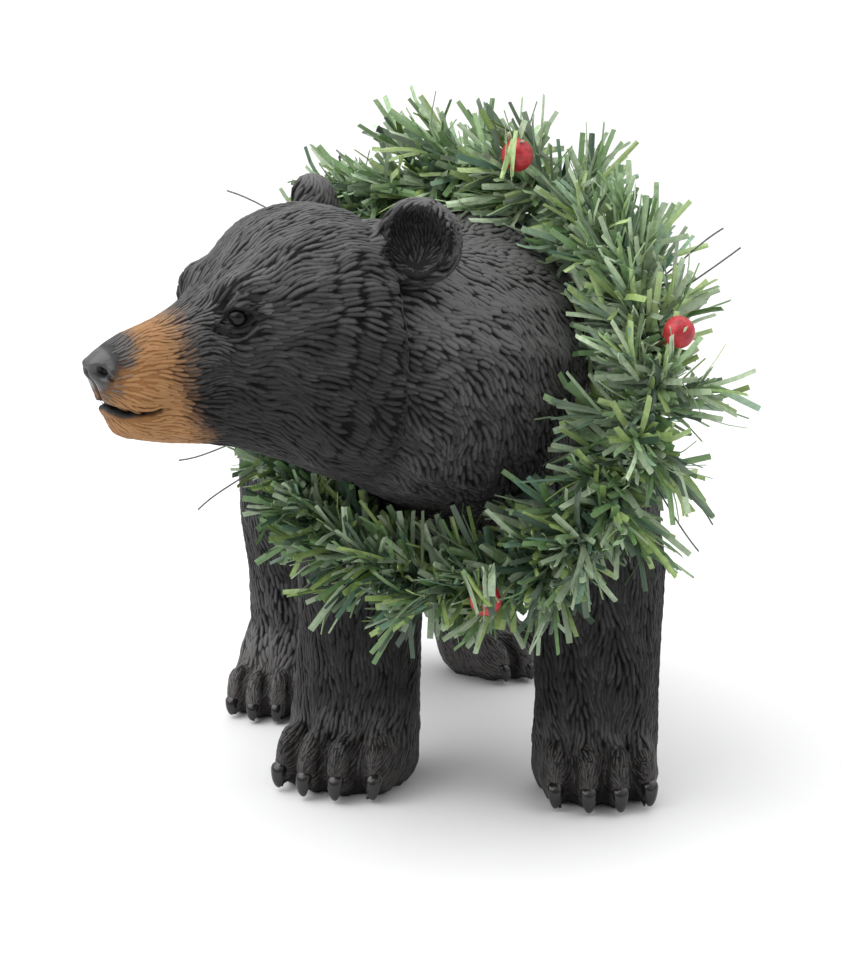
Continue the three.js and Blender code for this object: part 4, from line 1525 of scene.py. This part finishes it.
def clear_of_bear(points):
    """Moves points in mm to stand NEEDLE_ROOM off the skin; says how deep each one was."""
    flat = points.reshape(-1, 3)
    depth = np.zeros(len(flat))
    world = SHOULDERS + flat * MM
    for i, point in enumerate(world):
        spot, _, face, gap = skin_tree.find_nearest(point, 30 * MM)
        if spot is None:
            continue
        normal = face_normals[face]
        stand = (point - np.array(spot)) @ normal / MM
        if gap / MM > NEEDLE_ROOM and stand > 0:
            continue
        stand = gap / MM if stand > 0 else -gap / MM
        depth[i] = NEEDLE_ROOM - stand
        flat[i] = (np.array(spot) - SHOULDERS) / MM + normal * NEEDLE_ROOM
    return flat.reshape(points.shape), depth.reshape(points.shape[:2])


def needle_greens(rng, bases):
    """A colour for each needle: one of the greens, paler and brighter at the top and right of the ring,
    partly frost and partly painted light.
    """
    count = len(bases)
    shares = np.array([share for share, _ in GREENS])
    pick = rng.choice(len(GREENS), count, p=shares / shares.sum())
    colour = np.array([colour for _, colour in GREENS])[pick] * rng.uniform(0.8, 1.2, (count, 1))
    from_middle = bases - WREATH_CENTRE
    turns = np.degrees(np.arctan2(from_middle @ spoke(pi / 2), from_middle @ spoke(0))) % 360
    lit_and_pale = np.interp(turns, SPRAY_PLACES, PALE_AND_LIT_SHARE)[:, None] * rng.uniform(0.0, 1.0, (count, 1))
    lit_and_pale = np.minimum(lit_and_pale, 1.0)
    frost_and_light = FROST_AND_LIGHT * lit_and_pale
    # painted light makes these needles brighter, and frost mixes in the pale green
    colour = colour * (1 + lit_and_pale) * (1 - frost_and_light) + PALE_GREEN * frost_and_light
    return np.concatenate([colour, np.ones((count, 1))], axis=1)


def make_needles(name, rng, bases, ways, lengths):
    base, way, length = np.concatenate(bases), np.concatenate(ways), np.concatenate(lengths)
    flat = unit(np.cross(way, unit(rng.normal(size=(len(base), 3)))))
    bend = rng.normal(size=(len(base), 1)) * NEEDLE_BEND
    rows = needle_rows(base, way, flat, length[:, None], bend)
    middle, side, face = (np.stack(steps, axis=1) for steps in rows)
    middle, depth = clear_of_bear(middle)
    keep = (depth.max(axis=1) < TOO_DEEP) & ((depth > DEEP).sum(axis=1) < MOST)
    middle, side, face = middle[keep], side[keep], face[keep]
    half = rng.uniform(0.42, 0.6, (len(middle), 1, 1)) * NEEDLE_WIDE
    edge = side * half * NEEDLE_TAPER[None, :, None]
    points = np.stack([middle + edge, middle + face * CREASE, middle - edge], axis=2).reshape(-1, 3)
    faces = [
        (a + i, a + i + 3, a + j + 3, a + j)
        for a in range(0, NEEDLE_POINTS - 3, 3) for i, j in ((0, 1), (1, 2), (2, 0))
    ]
    ends = [(0, 1, 2), (NEEDLE_POINTS - 1, NEEDLE_POINTS - 2, NEEDLE_POINTS - 3)]
    quads = repeated(faces, NEEDLE_POINTS, len(middle))
    caps = repeated(ends, NEEDLE_POINTS, len(middle))
    mesh = bpy.data.meshes.new(name)
    mesh.from_pydata((SHOULDERS + points * MM).tolist(), [], quads + caps)
    write_colours(mesh, "green", np.repeat(needle_greens(rng, base[keep]), NEEDLE_POINTS, axis=0))
    print(name, len(middle), "needles,", 2 * len(quads) + len(caps), "triangles")
    finish_piece(link(name, mesh), NEEDLE_FOIL, "wreath")


def needle_foil():
    recipe = Recipe("fir_needles")
    green = recipe.add("ShaderNodeAttribute", attribute_name="green").outputs["Color"]
    streaks = recipe.noise(700.0, 3.0)
    recipe.surface(
        Base_Color=recipe.mix(recipe.scaled(streaks, 0.3, 0.7, 0.0, 0.35), green, (0.02, 0.05, 0.02)),
        Roughness=recipe.scaled(streaks, 0.2, 0.8, 0.38, 0.55),
    )
    recipe.bump(recipe.noise(1800.0, 2.0), 0.2, 0.0001)
    return recipe.material


NEEDLE_FOIL = needle_foil()
needle_random = np.random.default_rng(24)
bases, ways, lengths = (a + b for a, b in zip(sprays(needle_random), cover(needle_random)))
make_needles("wreath_sprays", needle_random, bases, ways, lengths)
make_needles("wreath_lining", needle_random, *lining(needle_random))

# %% A round wire
def tube(net, path, radius, sides=8):
    """A round wire through points in mm, closed at both ends."""
    path = np.array(path)
    rings = []
    side = None
    for i, point in enumerate(path):
        way = path[min(i + 1, len(path) - 1)] - path[max(i - 1, 0)]
        way /= np.linalg.norm(way)
        side = np.cross(way, UP if side is None else side)
        side = np.cross(side, way)
        if np.linalg.norm(side) < 1e-6:
            side = np.cross(way, np.array([1.0, 0.3, 0.2]))
        side /= np.linalg.norm(side)
        other = np.cross(way, side)
        size = radius if np.isscalar(radius) else radius[i]
        rings.append(ring(net, point, side * size, other * size, sides))
    skin_rings(net, rings)


# %% Stray wires
# thin ends that stand out of the needles: angle on the ring, lean out and along, and length in mm
STRAY_WIRES = [
    (138, 1.0, 0.5, 28), (168, 0.9, 0.3, 22), (200, 1.0, -0.1, 22), (207, 0.9, 0.35, 21),
    (22, 1.0, 0.3, 27), (28, 0.8, 0.1, 25), (340, 1.0, -0.5, 28), (346, 0.9, -0.7, 26),
]
STRAY_THICK = 0.22

stray_random = np.random.default_rng(3)
stray_net = bmesh.new()
for degree, out, lean, length in STRAY_WIRES:
    angle = radians(degree)
    way = spoke(angle) * out + spoke(angle + pi / 2) * lean + FACING * 0.1
    way /= np.linalg.norm(way)
    aside = unit(np.cross(way, stray_random.normal(size=3))[None])[0]
    sag = stray_random.uniform(2, 5)
    shares = np.linspace(0.1, 1, 10)
    path = [wire(angle) + way * length * t + aside * sag * sin(2.2 * t) * t for t in shares]
    tube(stray_net, path, STRAY_THICK, 6)
smooth_piece("stray_wires", stray_net, lacquer("stray_grey"))
print("stray wires:", len(STRAY_WIRES))

# %% The twisted wire
WIRE_THICK = 0.8
WIRE_TWISTS = 60
WIRE_STEPS = 6 * WIRE_TWISTS

wire_net = bmesh.new()
for strand in (0, pi):
    path = []
    for i in range(WIRE_STEPS + 1):
        angle = 2 * pi * i / WIRE_STEPS
        out = around_wire(angle, WIRE_TWISTS * angle + strand)
        path.append(wire(angle) + out * WIRE_THICK * 0.9)
    tube(wire_net, path, WIRE_THICK, 6)
smooth_piece("wreath_wire", wire_net, lacquer("wire_green"), "wreath")
print("wire: two strands,", WIRE_TWISTS, "twists")

# %% [markdown]
# The berries are little foam balls dipped in red, each on a short wire with a curl of brown paper
# round it. The ball isn't quite round, has a dimple where the wire goes in, and its red is a bit
# uneven.

# %% Berries
REDS = [(0.3, (0.2, 0.006, 0.011)), (0.5, (0.44, 0.018, 0.03)), (0.74, (0.64, 0.07, 0.075))]
DIMPLE = 0.14
LUMPS = 0.02
STEM_THICK = 0.5
CURLS = 3
CURL_STEPS = 16


def berry_red():
    recipe = Recipe("berry_red")
    mottle = recipe.noise(420.0, 4.0, 0.7)
    recipe.surface(
        Base_Color=recipe.ramp(mottle, REDS),
        Roughness=recipe.scaled(mottle, 0.2, 0.8, 0.3, 0.5),
    )
    recipe.bump(recipe.noise(900.0, 3.0), 0.3, 0.0002)
    return recipe.material


BERRY_RED = berry_red()
STEM_BROWN = lacquer("stem_brown")


def berry(number, rng):
    angle, around, _ = BERRIES[number - 1]
    angle, around = radians(angle), radians(around)
    way = around_wire(angle, around)
    middle = berry_middle(*BERRIES[number - 1])
    net = bmesh.new()
    for vert in bmesh.ops.create_uvsphere(net, u_segments=40, v_segments=28, radius=1.0)["verts"]:
        spot = np.array(vert.co)
        lumps = LUMPS * (sin(3.1 * spot[0] + number) + sin(2.7 * spot[1] + 2 * number))
        dimple = DIMPLE * ramp(-spot @ way, 0.9, 1.0)
        vert.co = Vector(place(*(middle + spot * BERRY_RADIUS * (0.98 + lumps - dimple))))
    smooth_piece(f"berry_ball_{number}", net, BERRY_RED, f"berry_{number}")
    net = bmesh.new()
    under = middle - way * (BERRY_RADIUS * 0.9)
    aside = unit(np.cross(way, rng.normal(size=3))[None])[0]
    other = np.cross(way, aside)
    bend = under - way * 3 + aside * 0.6
    tube(net, [under + way * 0.5, bend, wire(angle) + way * 1.5, wire(angle)], STEM_THICK)
    thick = [0.35 + 0.22 * sin(pi * i / (CURL_STEPS - 1)) for i in range(CURL_STEPS)]
    for curl in range(CURLS):
        first = rng.uniform(0, 2 * pi)
        size = rng.uniform(1.1, 1.9)
        start = under - way * (0.6 + 1.1 * curl)
        path = []
        for t in np.linspace(0, 5.4, CURL_STEPS):
            out = aside * cos(first + t) + other * sin(first + t)
            path.append(start + out * size * (0.5 + 0.16 * t) + way * 0.25 * t)
        tube(net, path, thick, 6)
    smooth_piece(f"berry_stem_{number}", net, STEM_BROWN)


berry_random = np.random.default_rng(7)
for number in range(1, len(BERRIES) + 1):
    berry(number, berry_random)
print("berries:", len(BERRIES))
